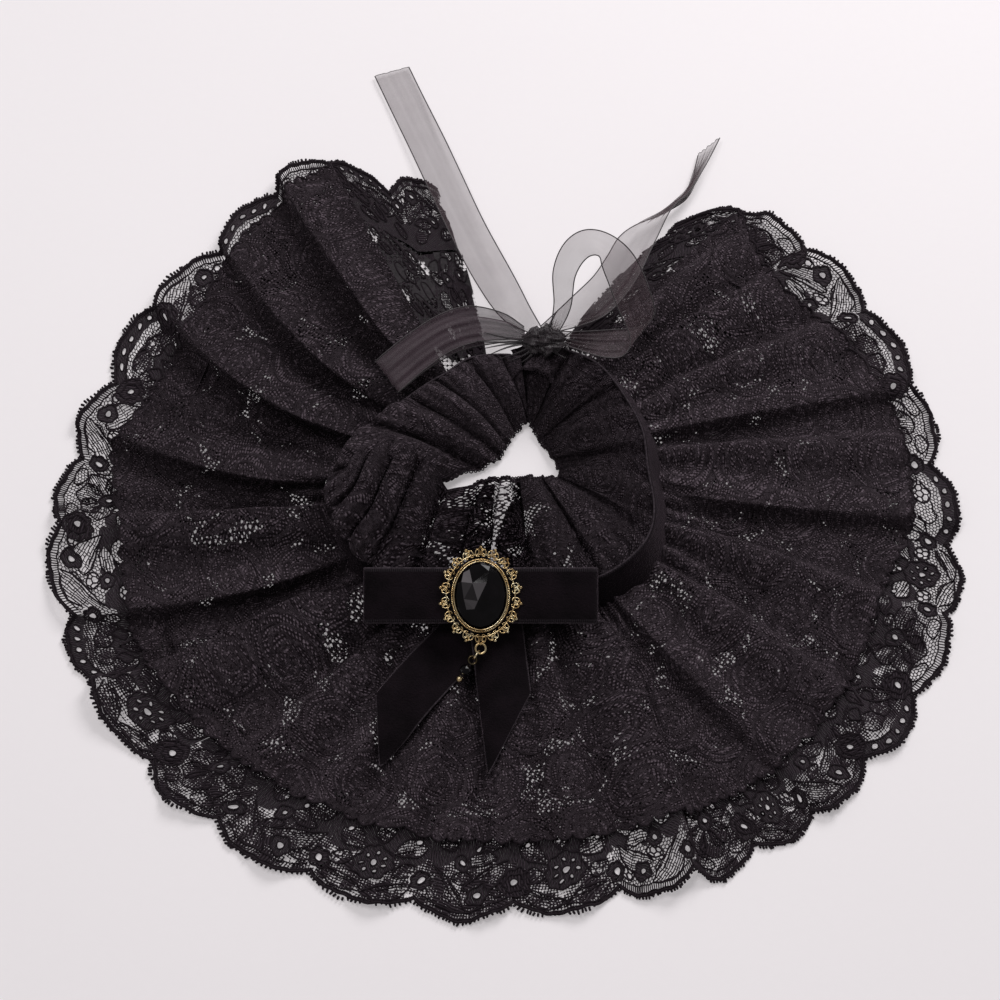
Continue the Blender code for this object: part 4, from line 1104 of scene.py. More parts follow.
def lay_upper_tier():
    places, share = np.linspace(UPPER_FIRST, UPPER_LAST, 881), np.linspace(0.0, 1.0, 104)[:, None]
    beyond = np.maximum(share - HEM_STARTS, 0.0) / (1.0 - HEM_STARTS)
    s = lerp(UNDER_BAND, upper_hem_share(places), share) + beyond * upper_edge(places)
    plan = cape_plan(places, s)
    relief, surface_values = rose_cloth(*plan)
    points = upper_point(places, s, relief - 0.25)
    hem_angle = cape_line(places)[1]
    sparse = 0.16 * bell(hem_angle, 268, 34) + 0.30 * bell(hem_angle, 400, 20)
    net = np.where(surface_values["net"] < 0.05, 0.0, surface_values["net"] + sparse)
    along_hem = bell(share, 0.915, 0.035) * (0.5 + 0.5 * np.sin(places * 3.1 + np.sin(places)))
    surface_values["net"] = np.where(share > 0.975, 0.0, np.maximum(net, 0.85 * along_hem))
    shaded = 0.42 * bell(hem_angle, 160, 48)  # painted shade over its left, farthest from the light
    # Painted shade, darkest in the valleys between folds and over the left
    surface_values["hollow"] = hollows(points, 15) * lerp(0.70, 0.30, share) + shaded
    cloth = add_shell("upper_tier_cloth", points, DENSE, flat=plan, values=surface_values, slot="lace")

    cords = Cords()
    for rose, (rose_x, rose_y, turned_by, size) in enumerate(ROSES):
        for ring in range(2, ROSE_RINGS + 1):
            turn = np.linspace(-np.pi, np.pi, RING_STEPS[ring] + 1)
            radius = rose_rims(rose, ring, turn)
            drawn = np.sin(turn * 2 + rose * 2.1 + ring * 1.3) > -0.55
            lay_line(cords, rose_x + radius * np.cos(turn), rose_y + radius * np.sin(turn), RING_RADII[ring], drawn)
        for leaf in range(3):
            heading = turned_by + leaf * 120 + 30 * math.sin(rose * 3 + leaf)
            foot = turned((size * LEAF_FOOT, 0), heading, rose_x, rose_y)
            line = petal(*foot, heading + 35 * math.cos(rose + leaf * 2), LEAF_LENGTH, LEAF_WIDTH, 0.8)
            line = np.concatenate((line, line[:1]))
            lay_line(cords, *line.T, LEAF_RADIUS, np.ones(len(line), bool))
    edge, steps = np.linspace(UPPER_FIRST, UPPER_LAST, 1500), np.linspace(UPPER_FIRST, UPPER_LAST, 900)
    cords.add(upper_point(edge, upper_hem_share(edge) + upper_edge(edge)), 0.45)
    _, _, inner, outer = cape_line(steps)
    hem = upper_hem_share(steps) + upper_edge(steps)
    reach = (0.8 + 0.5 * np.sin(steps * 91.0)) / (outer - inner)
    side = 0.010 * np.sin(steps * 57.0)
    cords.strands(upper_point(steps, hem), upper_point(steps + side, hem + reach, -0.1), 0.34)
    return cloth, cords.piece("upper_tier_outlines", CORDONNET, slot="lace")


# Ruffle

STANDING_FOLD = np.array((
    # angle on the band, edge x, edge y, edge z, share of it
    (166, -5.5, -1.2, 1.6, 0.0), (173, -13, -5.0, 2.2, 0.85), (179, -21.5, -8.5, 3.0, 1.0), (184, -38, -8, 7.5, 1.0),
    (189, -52, -6.5, 13.0, 1.0), (196, -53, -2.0, 17.0, 1.0), (205, -47, 2.0, 18.8, 1.0), (214, -39, 3.0, 19.2, 1.0),
    (222, -32, 1.0, 17.5, 1.0), (230, -26.5, -3.5, 13.5, 1.0), (237, -22.0, -9.0, 8.0, 1.0),
    (243, -19.0, -12.8, 4.0, 0.95), (252, -11.0, -11.0, 1.8, 0.0),
), float)
PUFF = np.array((
    # angle on the band, how far the ruffle bulges out over it
    (80, 0.8), (130, 0.8), (150, 2.5), (168, 6.5), (205, 8.5), (232, 8.5), (246, 3.0), (262, 0.8), (440, 0.8),
), float)
RUFFLE_FIRST, RUFFLE_LAST = 77.0, 443.0  # its ends as they show, lapped over each other
RUFFLE_FLUTES = np.array((
    # angle, flutes counted to there, how strong they are
    (80, 0.0, 0.8), (108, 1.5, 1.0), (140, 3.1, 1.1), (178, 4.9, 0.9), (198, 6.0, 0.7), (246, 10.0, 0.8),
    (275, 12.0, 0.9), (300, 13.3, 0.8), (322, 14.3, 0.45), (350, 15.2, 0.35), (385, 16.3, 0.35), (415, 17.6, 0.5),
    (440, 18.6, 0.6),
), float)
RUFFLE_LONG, RUFFLE_DEEP = 1.05, 50.0  # mm of cloth for a degree of the band, and from the band to the free edge
LADDER_ANGLE, LADDER_TOP, LADDER_BOTTOM = 268.5, 0.12, 0.955  # the open strip in its front
ROLL_BACK, ROLL_FRONT = np.array((19.0, 43.5, 16.0)), np.array((13.6, 28.0, 14.5))
ROLL_FROM, ROLL_TO, ROLL_AROUND, ROLL_LONG = -150.0, 235.0, 45, 24
RUFFLE_CORD, PICOT_RADIUS, PICOT_STEP, RUNG_RADIUS = 0.36, 0.30, 1.25, 0.26


def ruffle_phase(angle):
    waves = along(RUFFLE_FLUTES, angle)
    return waves, 2 * np.pi * waves + 0.6 * np.sin(waves * 1.7)


def ladder_reach(down):
    """Half the width of the open strip, in degrees."""
    return 1.1 + 6.0 * down**1.3


def band_wave(angle):
    """How far the neckband waves in and out, in mm."""
    return 0.35 * np.sin(np.radians(angle * 11))


def ruffle_sheet(angle, w, lift=0.0):
    """The ruffle as it shows: deep flutes, gathers at the band, and a fold that stands up at its left front."""
    angle, w = np.broadcast_arrays(np.asarray(angle, float), np.asarray(w, float))
    turn = np.radians(angle)
    radius = along(NECK, angle) + 0.6 + band_wave(angle) * 1.3
    edge_x, edge_y, tall = (along(RUFFLE_EDGES, angle, column) for column in (1, 2, 3))
    edge_z = np.full_like(edge_x, RUFFLE_EDGE)
    fold = STANDING_FOLD
    share = np.where((angle > fold[0, 0]) & (angle <= fold[-1, 0]), np.clip(along(fold, angle, 4), 0, 1), 0.0)
    for column, plain in ((1, edge_x), (2, edge_y), (3, edge_z)):
        plain += (along(fold, angle, column) - plain) * share
    waves, phase = ruffle_phase(angle)
    crest = (0.5 + 0.5 * np.cos(phase)) ** 0.6
    fine = 0.5 + 0.5 * np.cos(phase * 3 + 1.4 * np.sin(waves * 2.3))
    body = np.sin(np.pi * np.clip(w, 0, 1)) ** 0.7
    wave = tall * (1.0 + 0.35 * np.sin(waves * 2.9)) * (0.9 * w**0.6 * (1 - 0.6 * share) + 1.1 * body) * crest
    wave = wave * along(RUFFLE_FLUTES, angle, 2)
    left = bell(angle, 222, 34)
    wave = wave * (1.0 + 0.5 * left) + (0.9 * bell(w, 0, 0.3) + (0.6 + 0.9 * left) * body) * fine
    side = ((1.7 + 1.6 * left) * np.sin(phase) * body + 0.9 * np.sin(phase * 2 + 1.0) * w) * (1 - 0.5 * share)
    out = along(PUFF, angle) * bell(w, 0.10, 0.13) * (0.75 + 0.25 * crest) * np.clip(w / 0.04, 0, 1)
    x = lerp(radius * np.cos(turn), edge_x, w) - np.sin(turn) * side + np.cos(turn) * out
    y = lerp(radius * np.sin(turn), edge_y, w) + np.cos(turn) * side + np.sin(turn) * out
    z = lerp(RUFFLE_TOP + 0.5, edge_z, w**1.15) + RUFFLE_ARCH * np.sin(np.pi * w) + wave * lerp(1.0, 0.9, share)
    fall = 0.8 * (0.5 - 0.5 * np.cos(phase)) * body
    return np.stack((x, y, np.maximum(z - fall + 0.3, 0.6) + lift), axis=-1)


def roll_sheet(v, u):
    """The ruffle's right end, rolled up beside the knot: v runs to the free edge and u around the roll."""
    v, u = np.broadcast_arrays(np.asarray(v, float), np.asarray(u, float))
    turn = np.radians(lerp(ROLL_FROM, ROLL_TO, u))
    radius = lerp(3.0, 7.2, v**0.8) * (1.0 - 0.10 * u) * (1.0 + 0.07 * np.sin(turn * 3 + 1.0) * v)
    radius = radius * (1.0 + 0.05 * np.sin(turn * 9 + 2.0))
    middle = lerp(ROLL_BACK, ROLL_FRONT, v[..., None])
    high = radius * 0.9 * np.sin(turn)
    x = middle[..., 0] + radius * 1.1 * np.cos(turn)
    return np.stack((x, middle[..., 1] + 0.75 * high * v, np.maximum(middle[..., 2] + high, 2.0)), -1)


def edge_picots(cords, sheet, places, draw):
    """Small loops along a sheet's free edge, where sheet gives points from a place along it and a share down it."""
    step = (places[1] - places[0]) * 0.32
    for place in places:
        base = sheet(place + np.array((-step, step)), 1.0)
        out = base.mean(0) - sheet(place, 0.93)
        out = out / max(np.linalg.norm(out), 1e-6) * draw.uniform(0.8, 1.4)
        loop = np.stack((base[0], base[0] + out * 0.75, base.mean(0) + out, base[1] + out * 0.75, base[1]))
        cords.add(loop, PICOT_RADIUS, 3)


def lay_ruffle():
    every, down = np.meshgrid(np.linspace(RUFFLE_FIRST, RUFFLE_LAST, 861), np.linspace(0.0, 1.0, 40))
    flat = ((every - RUFFLE_START) * RUFFLE_LONG, down * RUFFLE_DEEP)
    relief, surface_values = rose_cloth((flat[0] + 75) % 300 - 150, flat[1] + 62)
    front, left, right = bell(every, 266, 30), bell(every, 214, 26), np.clip((every - 300) / 30, 0, 1)
    points = ruffle_sheet(every, down, relief * 0.7)
    net = np.clip(surface_values["net"] * (0.45 + 0.35 * front) + 0.60 * front * (surface_values["tone"] > 0.38), 0, 1)
    surface_values["net"] = np.where(down > 0.95, 0.0, net)
    above_hem = down < LADDER_BOTTOM
    open_edge = np.exp(-(((every - 264) / 17) ** 4)) * (down > 0.89) * above_hem
    ladder = np.exp(-(((every - LADDER_ANGLE) / ladder_reach(down)) ** 4)) * above_hem * (down > LADDER_TOP)
    surface_values["ladder"] = np.maximum(ladder, 0.42 * open_edge)
    # Painted shade: darker in the flutes' valleys and over the ruffle's left, front and right
    valley = (0.5 - 0.5 * np.cos(ruffle_phase(every)[1])) ** 2.5 * np.clip(down * 5, 0, 1)
    deep = np.maximum(hollows(points, 12), (0.62 + 0.38 * left) * valley * (1 - 0.4 * right))
    surface_values["hollow"] = np.clip(deep + 0.06 + 0.50 * left + 1.9 * front + 0.70 * right, 0, 2.0) * (1 - ladder)
    cloth = add_shell("neck_ruffle_cloth", points, DENSE, flat=flat, values=surface_values, slot="lace")

    v, u = np.meshgrid(np.linspace(0, 1, 30), np.linspace(0, 1, 110), indexing="ij")
    _, surface_values = rose_cloth(u * ROLL_AROUND + 20, v * ROLL_LONG + 70)
    # Painted shade on the inside of the roll
    inner = np.clip(0.15 - np.sin(np.radians(lerp(ROLL_FROM, ROLL_TO, u))), 0, 1) * np.clip(v * 2, 0, 1)
    surface_values.update(net=np.zeros_like(u), hollow=np.clip(inner + 0.15, 0, 1))
    roll = add_shell("neck_ruffle_roll", roll_sheet(v, u), DENSE, flat=(u * ROLL_AROUND, v * ROLL_LONG), values=surface_values,
                     slot="lace")

    cords, draw = Cords(), np.random.default_rng(41)
    fine = np.linspace(RUFFLE_FIRST, RUFFLE_LAST, 1100)
    for inset, radius in ((1.0, RUFFLE_CORD), (0.965, 0.28)):
        cords.add(ruffle_sheet(fine, inset, 0.05), radius)
    edge_picots(cords, ruffle_sheet, np.arange(RUFFLE_FIRST + 0.7, RUFFLE_LAST - 0.7, PICOT_STEP), draw)
    cords.add(roll_sheet(1.0, np.linspace(0, 1, 90)), RUFFLE_CORD)
    edge_picots(cords, lambda place, share: roll_sheet(share, place), np.linspace(0.01, 0.99, 34), draw)
    for rung in np.linspace(0.18, 0.94, 11):
        reach = ladder_reach(rung) * 0.8
        cords.add(ruffle_sheet(LADDER_ANGLE + np.linspace(-reach, reach, 15), rung, 0.06), RUNG_RADIUS, 3)
    return cloth, roll, cords.piece("neck_ruffle_picots", CORDONNET, slot="lace")


# Velvet

VELVET_WIDTH, VELVET_SHELL = 20.0, 1.0
SELVEDGE, SELVEDGE_RADIUS = 0.9, 0.5
FRAY_COUNT, FRAY_RADIUS = 70, 0.09


def add_velvet(name, points, flat, edge, cords):
    """A ribbon's pile, with a value that marks its woven edges, and the cords along them."""
    edge = np.broadcast_to(edge, points.shape[:2])
    piece = add_shell(name + "_velvet", points, VELVET, thickness=VELVET_SHELL, flat=flat, values={"edge": edge},
                      slot="velvet")
    return piece, cords.piece(name + "_selvedges", WOVEN, slot="velvet")


def lay_neck_band():
    angles, share = np.linspace(BAND_START, BAND_END, 345), np.linspace(0.0, 1.0, 15)[:, None]
    turn = np.radians(angles)
    radius = along(NECK, angles) + BAND_SPREAD * (1.0 - share) + 0.6
    radius = radius + band_wave(angles) * (0.3 + share)
    covered = np.clip((along(PUFF, angles) - 0.8) / 4.0, 0.0, 1.0)  # where the ruffle falls over it
    z = (BAND_HEIGHT - 3.0 * covered) * share + 0.5 + 0.25 * np.sin(np.radians(angles * 17 + 40))
    points = np.stack((radius * np.cos(turn), radius * np.sin(turn), z), -1)
    cords = Cords()
    for row, rise in ((0, -0.1), (-1, 0.1)):
        cords.add(points[row] + (0, 0, rise), 0.36, 6)
    edge = np.minimum(share, 1 - share) * BAND_HEIGHT < SELVEDGE
    return add_velvet("neck_band", points, (angles * 0.95, share * VELVET_WIDTH), edge, cords)


BOW_CENTRE, BOW_TILT = (-6.0, -61.5), 20.0
BOW_LENGTH, BOW_HALF_MIDDLE, BOW_HALF_END = 88.0, 1.9, 3.1
BEZEL_WIDE, BEZEL_TALL = 21.0, 26.5
FRAME_THICK, SEAM_GAP, VELVET_WALL = 1.2, 0.35, 1.2
STONE_WIDE, STONE_TALL, STONE_RISE = BEZEL_WIDE - 1.7, BEZEL_TALL - 1.7, 4.6


def on_bow(points):
    """From the bow's own frame, lying flat, to where it is."""
    tilt = math.radians(BOW_TILT)
    back_rise = (BOW_HALF_END + SEAM_GAP) / math.cos(tilt)
    edge_y = -float(along(NECK, 270.0)) - VELVET_WALL
    middle = (*BOW_CENTRE, BAND_HEIGHT + 0.4 + back_rise - (edge_y - BOW_CENTRE[1]) * math.tan(tilt))
    x, y, z = np.moveaxis(np.asarray(points, float), -1, 0)
    return np.stack((x, y * math.cos(tilt) - z * math.sin(tilt), y * math.sin(tilt) + z * math.cos(tilt)), -1) + middle


def on_brooch(points):
    return on_bow(np.asarray(points, float) + (0.0, 0.0, BOW_HALF_MIDDLE + 2 * SEAM_GAP))


def lay_bow():
    end, half_length = BOW_HALF_END - VELVET_WALL / 2, BOW_LENGTH / 2 - BOW_HALF_END
    x = np.linspace(-half_length, half_length, 61)
    swell = lerp(BOW_HALF_MIDDLE, BOW_HALF_END, (np.abs(x) / half_length) ** 1.3) - VELVET_WALL / 2
    bend = np.radians(np.linspace(-75, 75, 9))
    ring_x = np.concatenate((x, half_length + end * np.cos(bend), x[::-1], -half_length - end * np.cos(bend), x[:1]))
    ring_z = np.concatenate((-swell, end * np.sin(bend), swell[::-1], -end * np.sin(bend), -swell[:1]))
    y = np.linspace(-1.0, 1.0, 27)[:, None] * VELVET_WIDTH / 2
    ring_y = y * (1.0 - 0.035 * bell(ring_x, 0.0, 9.0))
    side = np.where(ring_z > 0, 1, -1)
    wave = 0.22 * np.sin(ring_x * 0.33 + 1.0) * (ring_y / 10.0) + 0.15 * np.sin(ring_x * 0.21)
    height = ring_z + np.where(side > 0, wave, 0.0) - 0.25 * (np.abs(ring_y) / 10) ** 6 * side
    points = on_bow(np.stack(np.broadcast_arrays(ring_x, ring_y, height), -1))
    cords = Cords()
    for row in (0, -1):
        cords.add(points[row], SELVEDGE_RADIUS, 6)
    edge = np.abs(np.abs(y) - VELVET_WIDTH / 2) < SELVEDGE
    return add_velvet("bow_bar", points, (np.arange(len(ring_x)) * 1.4, y), edge, cords)


TAILS = {
    # start x, start y, heading, left edge length, right edge length
    "bow_tail_left": (-8.0, -68.0, 229.5, 66.0, 45.0),
    "bow_tail_right": (-0.5, -69.0, 277.0, 28.0, 58.0),
}


def top_of(node, x, y):
    """Height of a solid's top over points of the plan, all in mm about the neck centre."""
    tree = BVHTree.FromObject(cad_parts[node], bpy.context.evaluated_depsgraph_get())
    found = np.full(np.shape(x), np.nan)
    for at in np.ndindex(*np.shape(x)):
        start = Vector(((x[at] + CENTRE[0]) * MM, (y[at] + CENTRE[1]) * MM, 0.2))
        hit = tree.ray_cast(start, Vector((0.0, 0.0, -1.0)))[0]
        if hit is not None:
            found[at] = hit.z / MM
    return found


def lay_tail(name):
    x, y, heading, left, right = TAILS[name]
    ahead = np.array((math.cos(math.radians(heading)), math.sin(math.radians(heading))))
    across = np.array((ahead[1], -ahead[0]))
    side, run = np.linspace(0.0, 1.0, 23)[None, :], np.linspace(0.0, 1.0, 61)[:, None]
    length = lerp(left, right, side) * run
    inward = (np.clip(side, 0.02, 0.98) - 0.5) * VELVET_WIDTH
    x, y = (start + ahead[axis] * length * 0.995 + across[axis] * inward for axis, start in ((0, x), (1, y)))
    z = top_of(name, x, y)
    for _ in range(4):
        z = np.where(np.isnan(z), np.nanmean(z), z)
        z[1:-1] = (z[:-2] + 2 * z[1:-1] + z[2:]) / 4
        z[:, 1:-1] = (z[:, :-2] + 2 * z[:, 1:-1] + z[:, 2:]) / 4
    z = z - 0.35 + 0.25 * np.sin(length * 0.19 + side * 2.0) - 0.3 * (np.abs(side - 0.5) * 2) ** 6
    points = np.stack((x, y, z), -1)
    cords, draw = Cords(), np.random.default_rng(len(name))
    cords.add(points[:, 0], SELVEDGE_RADIUS, 6)
    cords.add(points[:, -1], SELVEDGE_RADIUS, 6)
    cords.add(points[-1], 0.32, 5)
    for k in np.linspace(0.0, 1.0, FRAY_COUNT):
        start = np.array([np.interp(k, side[0], points[-1, :, axis]) for axis in range(3)])
        out = np.array((*(ahead + across * draw.uniform(-0.5, 0.5)), -0.15)) * draw.uniform(0.3, 0.9)
        cords.add(np.stack((start, start + out)), FRAY_RADIUS, 3)
    edge = np.minimum(side, 1 - side) * VELVET_WIDTH < SELVEDGE
    return add_velvet(name, points, (length, side * VELVET_WIDTH), edge, cords)


# Organza

ORGANZA_WIDTH, WIRE_RADIUS = 15.0, 0.24
KNOT_CENTRE, KNOT_RADII = np.array((17.0, 45.7, 21.8)), (5.6, 3.6, 3.5)
KNOT_SHIFT, KNOT_SWELL = np.array((1.4, -2.2, 0.2)), 1.5
RIBBONS = {
    # x, y, z, direction across the ribbon in plan, its tilt upward, share of the full width
    "ribbon_loop_left": (
        (10.9, 46.3, 22.8, 275, 0, 0.35), (3, 49.5, 22.3, 275, -10, 0.7), (-9, 51, 21.5, 281, -18, 0.95),
        (-20, 47.5, 21, 286, -22, 1.0), (-31, 40, 20, 297, -20, 1.0), (-40, 32.5, 18.4, 306, -14, 1.0),
        (-43, 30.5, 16.2, 308, -12, 1.0), (-40, 34, 14.2, 303, -12, 1.0), (-30, 42.5, 14.2, 295, -14, 1.0),
        (-16, 50, 15, 285, -14, 0.95), (2, 50, 17.3, 276, -5, 0.6), (10.9, 46.4, 20.2, 272, 0, 0.3),
    ),
    "ribbon_loop_right": (
        (22.1, 47.2, 23.6, -60, 0, 0.3), (25.4, 55, 29.5, -15, 0, 0.45), (26, 64, 38.5, -14, 8, 0.6),
        (30, 70.5, 44.5, -30, 8, 0.75), (36, 73, 47, -62, 4, 0.9), (42, 71, 45.5, -104, 0, 0.95),
        (48, 66, 40, -134, 0, 1.0), (53, 58, 31, -148, 4, 1.0), (57, 50, 22, -134, 8, 1.0),
        (53, 44.5, 19.5, -118, 8, 1.0), (43, 43, 20.2, -102, 4, 0.85), (31, 44, 20.8, -92, 0, 0.5),
        (23.3, 45.4, 21.2, -90, 0, 0.3),
    ),
    "ribbon_tail_left": (
        (14.8, 49.2, 20.6, 20, 20, 0.35), (7.5, 60, 14, 18, 24, 0.8), (-1, 79, 6.5, 12, 10, 1.0),
        (-12, 103, 4, 20, 0, 1.0), (-22, 127, 3.2, 24, 0, 1.0), (-29, 144, 2.4, 22, 0, 1.0),
        (-38, 165, 1.2, 20, 0, 1.0), (-44.5, 180, 1.2, 18, 0, 1.0),
    ),
    "ribbon_tail_right": (
        (19.5, 49.4, 20.6, -35, 0, 0.35), (27.6, 54.6, 19, -42, 0, 0.7), (36.5, 61, 18, -36, 0, 1.0),
        (45, 71, 16.5, -30, 0, 1.0), (51, 82, 14, -26, 0, 1.0), (56, 93, 11.5, -24, 4, 0.95),
        (63, 104, 9, -8, 30, 0.8), (71, 112, 6.5, 10, 60, 0.45), (78, 119, 5, 25, 70, 0.25),
        (83, 130, 3.5, 34, 30, 0.45), (88, 143, 2.2, 40, 8, 0.8),
    ),
}
GATHERS = (
    # end of each fold that runs in to the knot: x, y, z, and how far it bows sideways
    (-5, 47.5, 21.0, 1.2), (-8, 44.0, 20.5, 0.8), (-5, 41.0, 20.2, -0.6), (-3, 38.5, 19.6, -1.4), (1, 37.0, 19.4, 0.8),
    (4, 35.8, 19.4, 1.4), (8, 34.5, 19.2, 1.0), (29, 47, 22.5, -1.0), (33, 43.5, 21.0, 0.6), (31, 40.0, 20.4, 1.0),
    (27, 37.0, 19.8, -0.8), (24, 54.5, 27.0, 0.6),
)


def lay_ribbon(name, material):
    rows = np.array([(k, *row) for k, row in enumerate(RIBBONS[name])], float)
    at = np.linspace(0.0, len(rows) - 1.0, (len(rows) - 1) * 14 + 1)
    x, y, z, facing, tilt, share = (along(rows, at, column) for column in range(1, 7))
    level, rise = np.cos(np.radians(tilt)), np.sin(np.radians(tilt))
    across = np.stack((np.cos(np.radians(facing)) * level, np.sin(np.radians(facing)) * level, rise), -1)
    middle = np.stack((x, y, z), -1)
    normal = np.cross(across, np.gradient(middle, axis=0))
    normal /= np.linalg.norm(normal, axis=1, keepdims=True)
    k, down = np.linspace(-1.0, 1.0, 25), at[:, None]
    pleat = 1.5 * np.clip(1.0 - share, 0.0, 0.8)[:, None] * np.cos(5 * np.pi * k + 1.0)
    crease = 0.16 * np.sin(9 * k + 0.15 * down) + 0.12 * np.sin(17 * k + 1.0 + 0.3 * down)
    wave = 0.25 * np.sin(at * 1.7)[:, None] * k
    points = middle[:, None] + across[:, None] * (k[None, :, None] * ORGANZA_WIDTH * share[:, None, None] / 2)
    points = points + normal[:, None] * (pleat + crease + wave)[..., None]
    points[..., 2] = np.maximum(points[..., 2], 0.4)
    run = np.concatenate(((0,), np.cumsum(np.linalg.norm(np.diff(middle, axis=0), axis=1))))
    piece = add_shell(name + "_organza", points, material, flat=(run[:, None], k * ORGANZA_WIDTH / 2), slot="organza")
    cords = Cords()
    cords.add(points[:, 0], WIRE_RADIUS, 5)
    cords.add(points[:, -1], WIRE_RADIUS, 5)
    if "tail" in name:
        cords.add(points[-1], WIRE_RADIUS / 2)
    return piece, cords.piece(name + "_edges", EDGE_THREAD, slot="organza")


def lay_knot():
    turn, belt = np.linspace(0, 2 * np.pi, 129), np.linspace(-1.0, 1.0, 41)[:, None]
    swell = np.cos(belt * np.pi / 2 * 0.86) ** 0.75
    pleats = 1.0 + 0.12 * np.sin(7 * turn + 3.1 * belt) + 0.06 * np.sin(16 * turn - 5 * belt)
    swell = swell * (pleats + 0.16 * np.sin(3 * np.pi * belt + 0.6) + 0.05 * np.sin(9 * np.pi * belt))
    x = KNOT_RADII[0] * belt * 0.98 + 0.35 * np.sin(5 * turn)
    points = np.stack((x, KNOT_RADII[1] * swell * np.cos(turn), KNOT_RADII[2] * swell * np.sin(turn) * 0.85), -1)
    points = points * KNOT_SWELL + KNOT_CENTRE + KNOT_SHIFT
    tied = add_shell("ribbon_knot_organza", points, ORGANZA_DARK, thickness=0.3, flat=(turn * 3.5, belt * 6.0),
                     slot="organza")
    cords, t = Cords(), np.linspace(0.0, 1.0, 9)
    for *end, bow in GATHERS:
        start = KNOT_CENTRE + KNOT_SHIFT
        way = (end - start) / np.linalg.norm(end - start)
        sideways = bow * np.array((-way[1], way[0], 0.3))
        line = lerp(start + way * 3.0, np.array(end), t[:, None]) + np.sin(np.pi * t)[:, None] * sideways
        cords.add(line, lerp(0.85, 0.16, t**0.7), 6)
    return tied, cords.piece("ribbon_knot_gathers", ORGANZA_DARK, slot="organza")


# Brooch and its drop

PLATE_WIDE, PLATE_TALL = 11.6, 14.3  # from the middle to the feet of the scrolls
SCROLLS, GIRDLE, ROPE_TURNS, ROPE_RADIUS = 18, 16, 60, 0.19
STONE_CORNERS = np.array((
    # x and y of the places inside the stone's rim where its facets meet
    (-3.0, 4.6), (2.3, 4.9), (-1.0, -2.0), (-6.2, -1.3), (-7.2, 5.2), (-4.2, 9.6), (-2.3, -5.0), (-5.2, -5.2),
    (5.8, 0.5), (4.2, -6.0), (0.3, -9.2), (3.0, 9.2),
), float)
FACET_LIGHT = np.array((
    # x and y of a facet's middle, how bright a painted reflection inside it is
    (-4.8, 6.5, 0.85), (-0.6, 2.5, 0.48), (-3.4, 0.4, 0.09), (-5.5, 2.8, 0.22), (-3.2, -2.8, 0.40), (-4.6, -3.8, 0.34),
), float)


def oval_line(wide, tall, count, z=0.0):
    turn = 2 * np.pi * np.arange(count) / count
    return np.stack((wide / 2 * np.cos(turn), tall / 2 * np.sin(turn), np.full(count, z)), -1)


def tube_ball(cords, middle, radius):
    """A small ball drawn as a turned cord."""
    steps = np.radians(np.linspace(-84, 84, 7))
    line = middle + np.stack((0 * steps, 0 * steps, np.sin(steps) * radius), -1)
    cords.add(line, np.cos(steps) * radius, 8, up=(0.0, 1.0, 0.3))


def lay_scrollwork():
    """The openwork plate: a rim under the bezel, scrolls in pairs, and balls at their tips."""
    cords = Cords()
    cords.add(on_brooch(oval_line(25.6, 30.6, 90, 0.45)), 0.34, 6, True)
    t = np.linspace(0.0, 1.0, 17)
    spin, size = np.radians(lerp(215.0, -200.0, t)), lerp(1.45, 0.40, t)
    for k in range(SCROLLS):
        turn = 2 * np.pi * (k + 0.5) / SCROLLS
        foot = np.array((PLATE_WIDE * math.cos(turn), PLATE_TALL * math.sin(turn)))
        out = np.array((math.cos(turn) / PLATE_WIDE, math.sin(turn) / PLATE_TALL))
        out /= np.linalg.norm(out)
        side = np.array((-out[1], out[0]))

        def placed(rows, z=0.75):
            rows = np.asarray(rows, float)
            flat = foot + rows[:, :1] * out + rows[:, 1:2] * side
            return on_brooch(np.concatenate((flat, np.full((len(flat), 1), z)), axis=1))

        for way in (-1, 1):
            curl = np.stack((1.75 + size * np.cos(spin) * 1.15, way * (1.15 + size * np.sin(spin) * 0.72)), 1)
            cords.add(placed(curl), 0.23, 6)
            stalk = ((1.3, way * 0.15), (2.4, way * 0.30), (3.1, way * 0.75), (3.0, way * 1.3))
            cords.add(placed(stalk), 0.19, 6)
            tube_ball(cords, placed(((2.75, way * 1.55),), 0.85)[0], 0.34)
        tube_ball(cords, placed(((3.6, 0.0),), 0.8)[0], 0.66)
    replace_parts(cords.piece("brooch_scrollwork", GOLD, slot="antique_gold"), "brooch_frame")


def lay_bezel():
    cords = Cords()
    inner = oval_line(BEZEL_WIDE - 1.1, BEZEL_TALL - 1.1, 72, FRAME_THICK + SEAM_GAP + 0.9)
    cords.add(on_brooch(inner), 0.28, 8, True)
    t = np.linspace(0, 2 * np.pi, 721)[:-1]
    for phase in (0.0, np.pi):
        twist = t * ROPE_TURNS + phase
        reach, z = ROPE_RADIUS * np.cos(twist), FRAME_THICK + 0.70 + ROPE_RADIUS * np.sin(twist)
        rope = (((BEZEL_WIDE + 0.3) / 2 + reach) * np.cos(t), ((BEZEL_TALL + 0.3) / 2 + reach) * np.sin(t), z)
        cords.add(on_brooch(np.stack(rope, -1)), ROPE_RADIUS, 5, True)
    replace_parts(cords.piece("brooch_rope_bezel", GOLD, slot="antique_gold"), "brooch_bezel")


